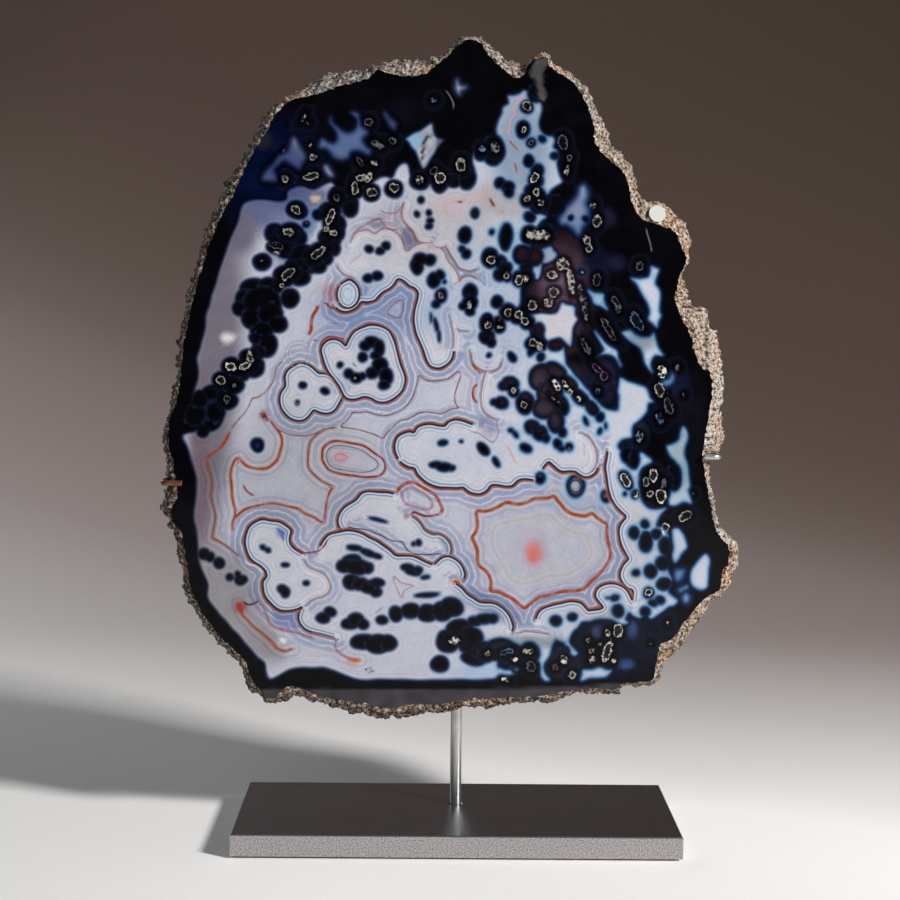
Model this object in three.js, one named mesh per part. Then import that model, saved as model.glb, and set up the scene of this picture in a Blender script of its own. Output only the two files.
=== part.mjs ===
// A polished agate slice with its rough rind, held by two bent rods on a steel stand.
// Millimetres, +Z up, origin under the middle of the base, -Y towards the polished front face.

import * as THREE from 'three';

// Stand
const plate = { width: 240, depth: 100, thickness: 12, edgeBreak: 0.6, holeClearance: 0.3 };
const pad = { thickness: 0.8, inset: 3, gap: 0.2 };
const post = { radius: 3.175, y: 9, top: 222, edgeBreak: 0.5, footGap: 0.5 };
const arm = { radius: 1.5875, gap: 0.35, bendRadius: 3.4, sides: 8, steps: 70 };

// Slice
const frontY = -8.5;
const backY = 5.5;
const widestY = 1.5;
const backInset = 1.2;
const lumpHeight = 0.55;
const samplesPerPoint = 2;

// Where the rods grip the rim, and how far they reach over it, as points of the front view
const leftGrip = { outerX: 162.1, tipX: 182, y: 481.2 };
const rightGrip = { outerX: 719.7, tipX: 703.5, y: 455.5 };

// Round paper dot on the rind
const dot = { radius: 4.65, thickness: 0.15, x: 657.5, y: 213.6, planeY: -8.75, tilt: 18, turn: 35 };

// The front view: an eye point, a focal length in picture units, and the middle of the picture.
// Outline points are given in that view, x to the right and y down, and fall on a plane of the slice.
const view = {
  eye: new THREE.Vector3(-14.9, -940.3, 295.9),
  focal: 1725,
  middle: 450,
  pitch: THREE.MathUtils.degToRad(5.01),
  yaw: THREE.MathUtils.degToRad(0.59),
  roll: THREE.MathUtils.degToRad(0.59),
};

// Each row: x, y of the polished face's edge, then x, y of the outer edge of the rind beside it.
// The rows run clockwise from the highest point.
const topRidge = [
  [466, 40, 466, 38], [475, 39.5, 477, 38], [482, 44, 485, 42], [488, 53, 491, 48],
  [494, 61, 498, 53], [501, 67, 505, 59], [508, 73, 513, 62], [516, 77, 521, 65],
  [522, 77, 524, 66], [527, 68, 528, 63], [532, 61, 533, 58], [540, 57.5, 541, 54.5],
  [548, 58, 549, 54.5], [550, 66, 551.5, 62], [554, 69, 555, 66],
];
const upperRight = [
  [560, 73, 562, 68], [570, 80, 574, 77], [578, 87, 581, 84], [582, 95, 587, 92],
  [588, 107, 594, 104], [592, 118, 599, 117], [595, 126, 602, 125], [594, 134, 607, 130.5],
  [596, 143, 609, 139], [603, 153, 617, 149], [613, 162, 625, 160], [621, 169, 631, 169],
  [627, 180, 634, 181], [630, 193, 637, 192],
];
const dotLobe = [
  [633, 204, 642, 199], [637, 213, 650, 200.5], [643, 219.5, 658, 201.5], [652, 222.5, 666, 206],
  [662, 226, 675, 213], [673, 230, 684, 221], [678, 238, 688.5, 232], [682, 247, 689, 243],
  [686, 257, 688.5, 254], [685, 265, 686.5, 263], [680.5, 275, 682, 273],
];
const flakeLedge = [
  [678, 286, 684.5, 284], [675, 298, 688, 297], [678, 308, 693, 305.5], [682, 319, 702, 307],
  [688, 329, 707.5, 319], [692, 338, 712, 327], [694, 348, 719, 334], [697, 358, 719.5, 350],
  [702, 368, 721.5, 365], [710, 372, 723.5, 379], [712, 385, 723, 392], [711.5, 399, 722, 405],
  [709, 414, 720.5, 419], [706, 430, 723.5, 438], [704, 443, 722, 446], [703, 449.5, 719, 449.8],
  [702.5, 453, 712, 452], [703.5, 462, 709.5, 461],
];
const lowerRight = [
  [705, 474, 708.5, 473], [709, 494, 711.5, 493], [712, 513, 714.5, 512], [715, 528, 719, 526],
  [722, 538.5, 729, 535], [728, 545, 737.5, 543.5], [729.5, 555, 739.5, 555], [727.5, 565, 736, 566],
  [722.5, 573, 731, 573], [721, 582, 731, 581], [720, 589.5, 726, 590], [709, 596, 717, 596],
  [700, 603, 707, 604], [694, 610.5, 703, 613.5], [685, 621, 695, 624], [677, 633, 688, 636],
  [668, 641, 680, 647], [660.5, 644, 672, 654], [658.5, 653, 665.5, 662], [655.5, 665, 662.5, 671],
  [653, 679, 658.5, 680.5],
];
const bottomEdge = [
  [643, 681.5, 646, 684], [634, 682.5, 636, 687.5], [623, 684, 624, 685.5], [619, 685.5, 619, 688],
  [616.5, 689, 617, 693.2], [606, 689, 607, 692.5], [596, 688.5, 597, 691], [586, 690, 586, 693.5],
  [574, 690, 574, 692], [562, 692, 562, 696], [550, 694.5, 550, 702], [536, 697, 537, 701.5],
  [519, 697.5, 520, 701], [500, 697.5, 502, 706], [480, 698.5, 481, 706.5], [462, 700.5, 463, 706.5],
  [450, 702.5, 451, 711], [434, 705, 435, 713], [414, 704.5, 414, 716], [398, 707, 397, 717.5],
  [384, 708, 382, 718.5], [368, 704.5, 368, 715], [348, 701, 347, 710.5], [328, 698, 327, 704.5],
  [313, 694, 312, 701], [301, 688.5, 301, 696.5], [290, 687, 289, 697.5], [282, 691, 280, 701],
  [275, 697.5, 271, 702], [266, 697.5, 264, 701],
];
const lowerLeft = [
  [261.5, 690, 259, 693], [253, 683, 249, 686.5], [249.5, 674, 244.5, 675], [245, 662, 240, 665],
  [234, 650, 230, 653], [217, 633, 213, 637], [201, 611, 197, 615], [191, 589, 186, 592],
  [187.5, 568, 182, 570], [184, 550, 178.5, 551], [182, 536, 174.5, 536], [180, 529, 174, 530],
  [174, 524, 171.5, 525], [171.5, 516, 169, 517],
];
const leftLump = [
  [171, 510, 163, 513], [174, 504, 161, 506], [177, 496, 162.5, 498], [177, 489, 165.5, 490.5],
  [176, 483, 169.2, 485], [175, 476, 168.3, 476], [172.5, 460, 167, 460], [169, 444, 163.5, 445],
  [169, 430, 164, 430], [169.5, 416, 167, 414],
];
const upperLeft = [
  [176, 402, 171, 401], [180, 380, 175, 380], [182, 356, 178.5, 355], [186, 331, 180.5, 331],
  [193, 301, 187, 299], [201, 271, 194, 270], [210, 242, 203, 240], [222, 214, 213.5, 212],
  [235, 191, 225, 188], [244, 169, 237, 166], [255, 149, 249, 147], [266, 131, 260, 128],
  [278, 112, 272, 107], [294, 99, 290, 95], [313, 95, 308, 85], [336, 87, 331, 74.5],
  [357, 81.5, 354, 71], [369, 77.5, 367, 67.5], [377, 69.5, 377, 64], [385, 72, 385, 62.5],
  [404, 76, 404, 59.5], [427, 72.5, 427, 60], [434, 66, 434, 57.5], [448, 55, 448, 50],
  [456, 47, 456, 43.5],
];
const rimRows = [
  ...topRidge, ...upperRight, ...dotLobe, ...flakeLedge, ...lowerRight,
  ...bottomEdge, ...lowerLeft, ...leftLump, ...upperLeft,
];

// How the rind turns from the face's edge to its widest line: share outwards and share backwards
const rindProfile = [[0, 0], [0.38, 0.1], [0.72, 0.4], [1, 1]];

// The flake on the right edge stands off from the inner rind across a groove
const flake = { x: 714, y: 347, reach: 22, grooveDepth: 3.2, grooveRing: 1 };

// The lobe that carries the dot slopes back less than the rest of the rind
const shelf = { x: 657.5, y: 213.6, reach: 26, widestY: -3.8 };

// The point of a plane of constant y that a point of the front view falls on
function planePoint(viewX, viewY, planeY) {
  const right = viewX - view.middle;
  const down = viewY - view.middle;
  const u = right * Math.cos(view.roll) + down * Math.sin(view.roll);
  const v = down * Math.cos(view.roll) - right * Math.sin(view.roll);
  const sideways = u / view.focal;
  const upwards = -v / view.focal;
  const level = Math.cos(view.pitch) + upwards * Math.sin(view.pitch);
  const rise = upwards * Math.cos(view.pitch) - Math.sin(view.pitch);
  const ray = new THREE.Vector3(
    sideways * Math.cos(view.yaw) + level * Math.sin(view.yaw),
    level * Math.cos(view.yaw) - sideways * Math.sin(view.yaw),
    rise,
  );
  return ray.multiplyScalar((planeY - view.eye.y) / ray.y).add(view.eye);
}

// One at the middle of a soft patch of the front view, and nothing past its reach
function patch(place, viewX, viewY) {
  const distance = Math.hypot(viewX - place.x, viewY - place.y) / place.reach;
  return distance < 1 ? 0.5 + 0.5 * Math.cos(Math.PI * distance) : 0;
}

// Uneven lumps of the rind, between about -1 and 1
function lump(point) {
  const across = Math.sin(point.x * 0.71 + 1.9 * Math.sin(point.z * 0.33));
  const upright = Math.sin(point.z * 0.83 + 1.7 * Math.sin(point.x * 0.41 + point.y * 0.3));
  return 0.5 * across + 0.5 * upright;
}

// A closed smooth line through the chosen pair of columns of the rim rows
function rimLine(columnX, columnY) {
  const points = rimRows.map((row) => new THREE.Vector3(row[columnX], row[columnY], 0));
  const curve = new THREE.CatmullRomCurve3(points, true, 'centripetal');
  const count = points.length * samplesPerPoint;
  return Array.from({ length: count }, (unused, index) => curve.getPoint(index / count));
}

// Rings of points from the face's edge, over the rind, to the edge of the back
function sliceRings() {
  const faceLine = rimLine(0, 1);
  const rindLine = rimLine(2, 3);
  const middle = planePoint(view.middle, 380, frontY);
  const rings = rindProfile.map(() => []);
  const side = [];
  const back = [];
  faceLine.forEach((facePoint, index) => {
    const rindPoint = rindLine[index];
    const onShelf = patch(shelf, rindPoint.x, rindPoint.y);
    const onFlake = patch(flake, rindPoint.x, rindPoint.y);
    const outerY = THREE.MathUtils.lerp(widestY, shelf.widestY, onShelf);
    const inner = planePoint(facePoint.x, facePoint.y, frontY);
    const outer = planePoint(rindPoint.x, rindPoint.y, outerY);
    const outwards = new THREE.Vector3(outer.x - middle.x, 0, outer.z - middle.z).normalize();
    rindProfile.forEach(([out, deep], ring) => {
      const point = new THREE.Vector3().lerpVectors(inner, outer, out);
      point.y = THREE.MathUtils.lerp(frontY, outerY, deep);
      if (ring > 0) {
        point.addScaledVector(outwards, lumpHeight * lump(point) * (1 - onShelf) * (ring < 3 ? 1 : 0.4));
        point.y += ring === flake.grooveRing + 1 ? flake.grooveDepth * onFlake : 0;
      }
      rings[ring].push(point);
    });
    side.push(new THREE.Vector3(outer.x, 3.6, outer.z).addScaledVector(outwards, -0.3));
    back.push(new THREE.Vector3(outer.x, backY, outer.z).addScaledVector(outwards, -backInset));
  });
  return [...rings, side, back];
}

// A closed solid from a stack of rings, with a flat cap on the first and on the last
function ringSolid(rings) {
  const count = rings[0].length;
  const positions = rings.flat().flatMap((point) => [point.x, point.y, point.z]);
  const triangles = [];
  for (let ring = 0; ring < rings.length - 1; ring += 1) {
    for (let index = 0; index < count; index += 1) {
      const next = (index + 1) % count;
      const low = ring * count;
      const high = low + count;
      triangles.push(low + index, low + next, high + index);
      triangles.push(low + next, high + next, high + index);
    }
  }
  const lastStart = (rings.length - 1) * count;
  const flat = (ring) => ring.map((point) => new THREE.Vector2(point.x, point.z));
  THREE.ShapeUtils.triangulateShape(flat(rings[0]), []).forEach(([a, b, c]) => {
    triangles.push(a, b, c);
  });
  THREE.ShapeUtils.triangulateShape(flat(rings[rings.length - 1]), []).forEach(([a, b, c]) => {
    triangles.push(lastStart + a, lastStart + c, lastStart + b);
  });
  const geometry = new THREE.BufferGeometry();
  geometry.setAttribute('position', new THREE.Float32BufferAttribute(positions, 3));
  geometry.setIndex(triangles);
  geometry.computeVertexNormals();
  return geometry;
}

function agateSlice() {
  const material = new THREE.MeshStandardMaterial({ color: 0x9aa3b8, roughness: 0.25, metalness: 0 });
  const mesh = new THREE.Mesh(ringSolid(sliceRings()), material);
  mesh.name = 'agate_slice';
  return mesh;
}

// A steel bar with broken edges and a hole for the foot of the post
function basePlate() {
  const halfWidth = plate.width / 2;
  const halfDepth = plate.depth / 2;
  const outline = new THREE.Shape([
    new THREE.Vector2(-halfWidth, -halfDepth),
    new THREE.Vector2(halfWidth, -halfDepth),
    new THREE.Vector2(halfWidth, halfDepth),
    new THREE.Vector2(-halfWidth, halfDepth),
  ]);
  const hole = new THREE.Path();
  hole.absarc(0, post.y, post.radius + plate.holeClearance, 0, 2 * Math.PI, true);
  outline.holes.push(hole);
  const geometry = new THREE.ExtrudeGeometry(outline, {
    depth: plate.thickness - 2 * plate.edgeBreak,
    bevelThickness: plate.edgeBreak,
    bevelSize: plate.edgeBreak,
    bevelOffset: -plate.edgeBreak,
    bevelSegments: 1,
    curveSegments: 12,
  });
  const material = new THREE.MeshStandardMaterial({ color: 0x46464a, roughness: 0.5, metalness: 0.7 });
  const mesh = new THREE.Mesh(geometry, material);
  mesh.name = 'base_plate';
  mesh.position.z = pad.thickness + pad.gap + plate.edgeBreak;
  return mesh;
}

function feltPad() {
  const geometry = new THREE.BoxGeometry(
    plate.width - 2 * pad.inset,
    plate.depth - 2 * pad.inset,
    pad.thickness,
  );
  const material = new THREE.MeshStandardMaterial({ color: 0x141414, roughness: 1, metalness: 0 });
  const mesh = new THREE.Mesh(geometry, material);
  mesh.name = 'felt_pad';
  mesh.position.z = pad.thickness / 2;
  return mesh;
}

// A round bar with broken edges, standing in the hole of the plate
function uprightPost() {
  const bottom = pad.thickness + pad.gap + post.footGap;
  const profile = [
    new THREE.Vector2(0, bottom),
    new THREE.Vector2(post.radius - post.edgeBreak, bottom),
    new THREE.Vector2(post.radius, bottom + post.edgeBreak),
    new THREE.Vector2(post.radius, post.top - post.edgeBreak),
    new THREE.Vector2(post.radius - post.edgeBreak, post.top),
    new THREE.Vector2(0, post.top),
  ];
  const geometry = new THREE.LatheGeometry(profile, 24);
  geometry.rotateX(Math.PI / 2);
  const material = new THREE.MeshStandardMaterial({ color: 0xb9b6b0, roughness: 0.3, metalness: 1 });
  const mesh = new THREE.Mesh(geometry, material);
  mesh.name = 'post';
  mesh.position.y = post.y;
  return mesh;
}

// The route of a gripping rod: out from the post behind the slice, round the rim, over the face
function armRoute(grip, side) {
  const behindY = backY + arm.gap + arm.radius;
  const frontRodY = frontY - arm.gap - arm.radius;
  const tip = planePoint(grip.tipX, grip.y, frontRodY);
  const bend = planePoint(grip.outerX, grip.y, (behindY + frontRodY) / 2);
  const outerX = bend.x - side * arm.radius;
  const level = bend.z;
  const turn = arm.bendRadius;
  const start = new THREE.Vector3(side * (post.radius + arm.gap), behindY, level);
  const rearBendStart = new THREE.Vector3(outerX - side * turn, behindY, level);
  const rearCorner = new THREE.Vector3(outerX, behindY, level);
  const rearBendEnd = new THREE.Vector3(outerX, behindY - turn, level);
  const frontBendStart = new THREE.Vector3(outerX, frontRodY + turn, level);
  const frontCorner = new THREE.Vector3(outerX, frontRodY, level);
  const frontBendEnd = new THREE.Vector3(outerX - side * turn, frontRodY, level);
  const end = new THREE.Vector3(tip.x, frontRodY, level);
  const route = new THREE.CurvePath();
  route.add(new THREE.LineCurve3(start, rearBendStart));
  route.add(new THREE.QuadraticBezierCurve3(rearBendStart, rearCorner, rearBendEnd));
  route.add(new THREE.LineCurve3(rearBendEnd, frontBendStart));
  route.add(new THREE.QuadraticBezierCurve3(frontBendStart, frontCorner, frontBendEnd));
  route.add(new THREE.LineCurve3(frontBendEnd, end));
  return route;
}

function grippingArm(name, grip, side, colour) {
  const section = new THREE.Shape();
  section.absarc(0, 0, arm.radius, 0, 2 * Math.PI, false);
  const geometry = new THREE.ExtrudeGeometry(section, {
    steps: arm.steps,
    curveSegments: arm.sides / 2,
    extrudePath: armRoute(grip, side),
  });
  const material = new THREE.MeshStandardMaterial({ color: colour, roughness: 0.35, metalness: 1 });
  const mesh = new THREE.Mesh(geometry, material);
  mesh.name = name;
  return mesh;
}

// A blank paper dot, leaning back with the lobe of rind under it
function paperDot() {
  const geometry = new THREE.CylinderGeometry(dot.radius, dot.radius, dot.thickness, 32);
  const material = new THREE.MeshStandardMaterial({ color: 0xf2f2f0, roughness: 0.8, metalness: 0 });
  const mesh = new THREE.Mesh(geometry, material);
  mesh.name = 'paper_dot';
  const leanBack = THREE.MathUtils.degToRad(dot.tilt);
  const turn = THREE.MathUtils.degToRad(dot.turn);
  const facing = new THREE.Vector3(
    Math.sin(leanBack) * Math.sin(turn),
    -Math.cos(leanBack),
    Math.sin(leanBack) * Math.cos(turn),
  );
  mesh.quaternion.setFromUnitVectors(new THREE.Vector3(0, 1, 0), facing);
  mesh.position.copy(planePoint(dot.x, dot.y, dot.planeY));
  return mesh;
}

const agate = new THREE.Group();
agate.add(
  agateSlice(),
  basePlate(),
  feltPad(),
  uprightPost(),
  grippingArm('arm_left', leftGrip, -1, 0xb4674a),
  grippingArm('arm_right', rightGrip, 1, 0xb9b6b0),
  paperDot(),
);

export default agate;
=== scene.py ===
"""Looks of a polished agate slice held by bent rods on a steel post and a flat bar base."""

import math

import bmesh
import bpy
import numpy as np
from mathutils import Matrix, Vector, noise
from mathutils.geometry import delaunay_2d_cdt


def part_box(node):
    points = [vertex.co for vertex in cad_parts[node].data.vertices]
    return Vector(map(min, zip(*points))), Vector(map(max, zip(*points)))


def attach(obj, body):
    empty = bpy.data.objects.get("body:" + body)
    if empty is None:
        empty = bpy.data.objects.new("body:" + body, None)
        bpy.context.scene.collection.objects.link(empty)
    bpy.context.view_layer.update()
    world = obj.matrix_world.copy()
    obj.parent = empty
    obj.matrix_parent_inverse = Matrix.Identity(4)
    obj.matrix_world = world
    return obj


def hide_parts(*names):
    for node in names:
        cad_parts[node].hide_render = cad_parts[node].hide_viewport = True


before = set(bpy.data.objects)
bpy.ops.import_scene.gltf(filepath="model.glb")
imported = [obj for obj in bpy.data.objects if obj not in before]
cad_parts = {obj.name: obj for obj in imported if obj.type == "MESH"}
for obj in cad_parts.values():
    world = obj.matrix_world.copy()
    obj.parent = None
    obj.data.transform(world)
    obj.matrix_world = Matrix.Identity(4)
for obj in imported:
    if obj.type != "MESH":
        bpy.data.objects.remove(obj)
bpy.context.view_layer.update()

MM = 0.001

# The camera that was fitted to the photograph: millimetres, degrees and picture points
EYE = np.array((-14.9, -940.3, 295.9))
PITCH = math.radians(5.01)
YAW = math.radians(0.59)
ROLL = math.radians(0.59)
FOCAL = 1725.0
PICTURE = 900.0
SENSOR = 36.0

# The nearest and the farthest that the camera shows, in metres
NEAREST = 0.01
FARTHEST = 30.0

# The stone's flat faces, in mm
FACE_Y = -8.5
BACK_Y = 5.5

# The stand's sizes in mm, as in the CAD part
POST_RADIUS = 3.175
POST_Y = 9.0
POST_BOTTOM = 1.5
POST_TOP = 222.0
POST_EDGE = 0.5
ARM_RADIUS = 1.5875
ARM_GAP = 0.35
ARM_TURN = 3.4
ARM_REAR_Y = BACK_Y + ARM_GAP + ARM_RADIUS
ARM_FRONT_Y = FACE_Y - ARM_GAP - ARM_RADIUS

# The grips in picture points: outermost point and tip, height, and the side of the stone
LEFT_GRIP = {"outer": 162.1, "tip": 182.0, "y": 481.2, "side": -1}
RIGHT_GRIP = {"outer": 719.7, "tip": 703.5, "y": 455.5, "side": 1}

# An arm's joint with the post in mm: places along the arm and how much thicker it is there; its tip's bevel
JOINT_PLACES = (-1.2, 0.0, 2.2)
JOINT_SWELL = (1.1, 0.7, 0.0)
TIP_BEVEL = 0.4

# Sides of the round rods, and the least angle between two faces with a sharp edge
ROD_SIDES = 40
POST_SIDES = 64
SHARP_ANGLE = math.radians(40)
# How upright a rod's start is when the depth axis, not the upward one, serves as its reference
STEEP = 0.9

# The top of the base plate in metres, and the heights between which its edges' finish turns into its top's
PLATE_TOP = 0.013
PLATE_EDGE_END = PLATE_TOP - 0.0006
PLATE_TOP_START = PLATE_TOP - 0.0002

# How finely the stone is divided: points round its rim, rows between rings, picture points between dots
RIM_COUNT = 980
ROWS_BETWEEN_RINGS = 3
FINE_STEP = 1.75
BACK_STEP = 4.6
# Shares of that step: a row's height, and the least distance from the rim
ROW_SHARE = 0.87
FRONT_CLEAR = 0.7
BACK_CLEAR = 0.6

# Distances within which no dot is left out: from a light edge, a core and an outline in picture points,
# and from a single line in its half widths
LIGHT_DETAIL = 3.0
CORE_DETAIL = 2.2
BAND_DETAIL = 5.2
LINE_DETAIL = 2.6

# To read the CAD stone's rings: digits of a mm that tell corners apart, and what counts as on the face
CORNER_DIGITS = 3
ON_FACE = 0.01
# The number of the widest ring, from the front
WIDEST_RING = 3

# The rind's relief in mm: broad lumps, grains and pits, and how rare the pits are
LUMP_HEIGHT = 0.6
LUMP_WIDTH = 13.0
GRAIN_HEIGHT = 1.5
GRAIN_WIDTH = 1.9
PIT_DEPTH = 2.4
PIT_WIDTH = 2.9
PIT_LEVEL = 0.1
# Height and width in mm of large and small knobs, and how far they are set back
KNOBS = ((1.7, 6.5), (1.1, 3.4))
KNOB_SETBACK = 0.2
# Share of the lumps at the stone's edges, and how much each row adds to the lumps and to the knobs
LUMP_BASE = 0.45
LUMP_GAIN = 0.3
KNOB_GAIN = 0.25
# The rind is flat round the paper dot up to this distance in mm, and fully rough that much further out
CALM_RADIUS = 5.2
CALM_FADE = 4.0

# Picture points beyond which a line or an edge has no effect
REACH = 9.0
WINDOW_REACH = 7.0
BAND_REACH = 12.0
ZONE_REACH = 26.0
BESIDE_REACH = 14.0
LINE_MARGIN = 8.0

# Fading in picture points: at a line's open end, and where the effect of a line or of an outline is gone
END_FADE = 2.5
LINE_FADE_END = 3.5
LINE_FADE = 1.5
BAND_FADE_END = 6.5
BAND_FADE = 2.0

# Strength of the bands round a pocket: with the faintest outline, and how much a full one adds
ZONE_BASE = 0.45
ZONE_GAIN = 0.55

# A soft patch is gone at this many times its size
PATCH_END = 1.5

# Waver of the drawn shapes in picture points, and of the whole pattern on the back, at a coarser scale
WAVER = 0.32
BACK_WAVER = 2.2
BACK_COARSE = 4

# Outlines and single lines are in two layers, so that two may cross
LAYERS = (0, 1)

# A single line with fewer points or a smaller half width has no bands beside it
BESIDE_LEAST_POINTS = 9
BESIDE_LEAST_WIDTH = 1.05

# A ring-shaped core: half its stroke in picture points, how clear its middle is, the blur of its edges
RING_HALF_WIDTH = 0.5
CORE_OPENING = 0.975
CORE_BLUR = 0.4

# How fast a soft window's edge fades, against a crisp one's
WINDOW_SLOPE = 0.5

# Faint bands in the plain ground, in picture points: their distance, and where they start to fade and end
FAINT_BAND = 3.0
FAINT_START = 2.0
FAINT_END = 8.0

# The range that smooth noise mostly fills
NOISE_LOW = 0.3
NOISE_HIGH = 0.7

# The stage in metres: the floor's front, the start and radius of its bend, its top and half its width
SWEEP_FRONT = -1.6
BEND_START = 0.55
BEND_RADIUS = 0.75
BEND_STEPS = 24
SWEEP_TOP = 2.6
SWEEP_HALF = 3.0
# How much a metre to the right, to the back and upwards counts for the stage's painted shade
SHADE_RIGHT = 0.72
SHADE_BACK = 1.3
SHADE_UP = 0.9

# Soft lamps: place and aim in metres, width and height, power in watts, colour
LAMPS = {
    "key": ((1.39, -0.96, 1.12), (0.0, 0.0, 0.25), (0.26, 0.26), 46.0, (1.0, 0.98, 0.95)),
    "fill": ((-0.6, -1.3, 1.7), (0.0, 0.0, 0.2), (0.9, 0.6), 1.9, (1.0, 0.97, 0.95)),
    "overhead": ((-0.1, 0.25, 2.1), (-0.1, 0.25, 0.0), (1.2, 0.9), 1.5, (0.98, 0.99, 1.0)),
    "rear": ((-0.9, 0.8, 0.75), (0.0, 0.0, 0.3), (0.6, 0.6), 2.4, (0.97, 0.98, 1.0)),
}
ROOM_COLOUR = (0.85, 0.92, 1.0, 1.0)
ROOM_STRENGTH = 0.05

# Colours of the stand and the dot, sRGB: pairs that a finish mixes, and single ones
PLATE_TOP_PAIR = ((158, 164, 174), (170, 176, 186))
PLATE_EDGE_PAIR = ((142, 136, 137), (206, 200, 201))
PLATE_CLOUD = (144, 148, 156)
ROD_PAIR = ((178, 174, 168), (208, 204, 200))
COPPER_PAIR = ((178, 122, 104), (104, 62, 52))
FELT_PAIR = ((16, 16, 18), (44, 44, 46))
PAPER_PAIR = ((180, 180, 177), (196, 196, 192))

# Colours of the rind's dark pits, also used for the painted shade in its groove, and of the stone's
# pattern, sRGB
PIT_AND_GROOVE_SHADE_COLOUR = (26, 18, 15)
PALE_GROUND = (198, 200, 216)
GROUND = (188, 190, 205)
DEEP = (6, 6, 10)
CORE_TINTS = {
    "beige": (170, 167, 161),
    "bright": (214, 210, 202),
    "dull": (92, 92, 102),
    "blue": (84, 112, 150),
    "slate": (112, 122, 134),
    "purple": (104, 74, 104),
    "brown": (112, 84, 70),
}
LINE_TINTS = {
    "orange": (144, 66, 28),
    "brown": (120, 75, 65),
    "red": (125, 50, 50),
    "mauve": (140, 100, 120),
    "navy": (30, 32, 62),
    "black": (20, 18, 26),
    "grey": (120, 118, 135),
    "white": (215, 215, 225),
    "tan": (190, 150, 125),
    "pink": (190, 140, 150),
    "olive": (166, 168, 152),
}

# Stops are a value, an sRGB colour and an opacity. These two go from dark to light across the light
# ground's edge, by picture points from it: at the left and at the right of the stone
EDGE_STOPS = [
    (-3.6, (8, 9, 16), 0.0),
    (-2.0, (14, 17, 32), 0.85),
    (-0.9, (30, 35, 58), 1.0),
    (0.1, (70, 80, 110), 1.0),
    (1.1, (128, 142, 170), 0.95),
    (2.4, (186, 193, 210), 0.75),
    (4.0, (208, 210, 221), 0.45),
    (4.9, (160, 166, 188), 0.45),
    (5.8, (200, 202, 214), 0.3),
    (8.0, (188, 190, 205), 0.0),
]
BLUE_EDGE_STOPS = [
    (-4.0, (8, 12, 26), 0.0),
    (-2.2, (14, 22, 46), 0.75),
    (-0.8, (28, 48, 84), 1.0),
    (0.3, (70, 106, 146), 1.0),
    (1.5, (124, 158, 190), 0.95),
    (3.4, (172, 193, 214), 0.65),
    (5.4, (190, 202, 218), 0.35),
    (8.0, (188, 190, 205), 0.0),
]

# Across a pocket's outline, by picture points inwards: a strong one, its fringe, and a weak one
BAND_STOPS = [
    (-1.8, (110, 66, 62), 0.0),
    (-1.0, (62, 36, 40), 0.9),
    (-0.3, (20, 18, 26), 1.0),
    (0.3, (28, 30, 46), 0.95),
    (0.9, (140, 148, 170), 0.9),
    (1.5, (210, 214, 226), 0.95),
    (2.2, (150, 164, 190), 0.8),
    (2.8, (70, 90, 122), 0.8),
    (3.5, (132, 154, 182), 0.75),
    (4.8, (184, 200, 217), 0.55),
    (6.4, (205, 210, 220), 0.0),
]
FRINGE_STOPS = [
    (-4.4, (180, 146, 146), 0.0),
    (-3.3, (166, 110, 90), 0.5),
    (-2.3, (146, 72, 46), 0.9),
    (-1.4, (86, 40, 36), 0.7),
    (-0.6, (40, 20, 26), 0.0),
]
THIN_STOPS = [
    (-2.0, (170, 140, 140), 0.0),
    (-1.1, (132, 84, 78), 0.85),
    (-0.3, (186, 160, 164), 0.6),
    (0.5, (214, 208, 216), 0.65),
    (1.3, (150, 126, 142), 0.6),
    (2.1, (206, 204, 214), 0.4),
    (3.4, (206, 204, 214), 0.0),
]

# Bands round a pocket and within it, by picture points from its outline
OUTER_STOPS = [
    (0.0, (100, 114, 144), 1.0),
    (3.2, (132, 148, 180), 1.0),
    (4.2, (212, 214, 226), 1.0),
    (5.2, (158, 168, 194), 1.0),
    (8.0, (142, 155, 190), 1.0),
    (9.6, (170, 176, 201), 1.0),
    (10.4, (218, 216, 226), 1.0),
    (11.4, (166, 164, 190), 0.9),
    (14.0, (152, 163, 195), 0.85),
    (16.2, (186, 188, 207), 0.7),
    (17.0, (212, 206, 216), 0.7),
    (18.0, (182, 180, 200), 0.5),
    (20.0, (172, 180, 204), 0.4),
    (25.0, (188, 190, 205), 0.0),
]
INNER_STOPS = [
    (0.0, (214, 217, 227), 0.9),
    (5.6, (212, 213, 222), 0.9),
    (6.6, (176, 180, 198), 0.8),
    (7.6, (212, 212, 221), 0.8),
    (11.0, (206, 207, 217), 0.7),
    (25.0, (204, 205, 216), 0.5),
]

# Bands beside a strong single line, by picture points from it
BESIDE_STOPS = [
    (0.0, (150, 110, 110), 0.7),
    (1.6, (186, 150, 146), 0.6),
    (2.6, (206, 186, 182), 0.6),
    (3.8, (214, 210, 218), 0.7),
    (5.0, (170, 172, 196), 0.6),
    (7.4, (158, 164, 192), 0.6),
    (8.4, (208, 206, 216), 0.6),
    (9.8, (176, 178, 200), 0.4),
    (13.5, (188, 190, 205), 0.0),
]

# The dark round a bright core, and an eye's edge over another eye, by picture points inside
HALO_STOPS = [
    (-9.0, (14, 17, 32), 0.0),
    (-7.2, (24, 29, 50), 0.3),
    (-5.4, (12, 14, 26), 0.4),
    (-2.5, (4, 4, 7), 0.9),
    (0.0, (4, 4, 7), 0.9),
]
OVER_STOPS = [
    (0.0, (34, 40, 68), 0.75),
    (1.4, (22, 27, 48), 0.7),
    (3.2, (7, 8, 14), 0.7),
    (7.0, (7, 8, 14), 0.0),
]
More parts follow.
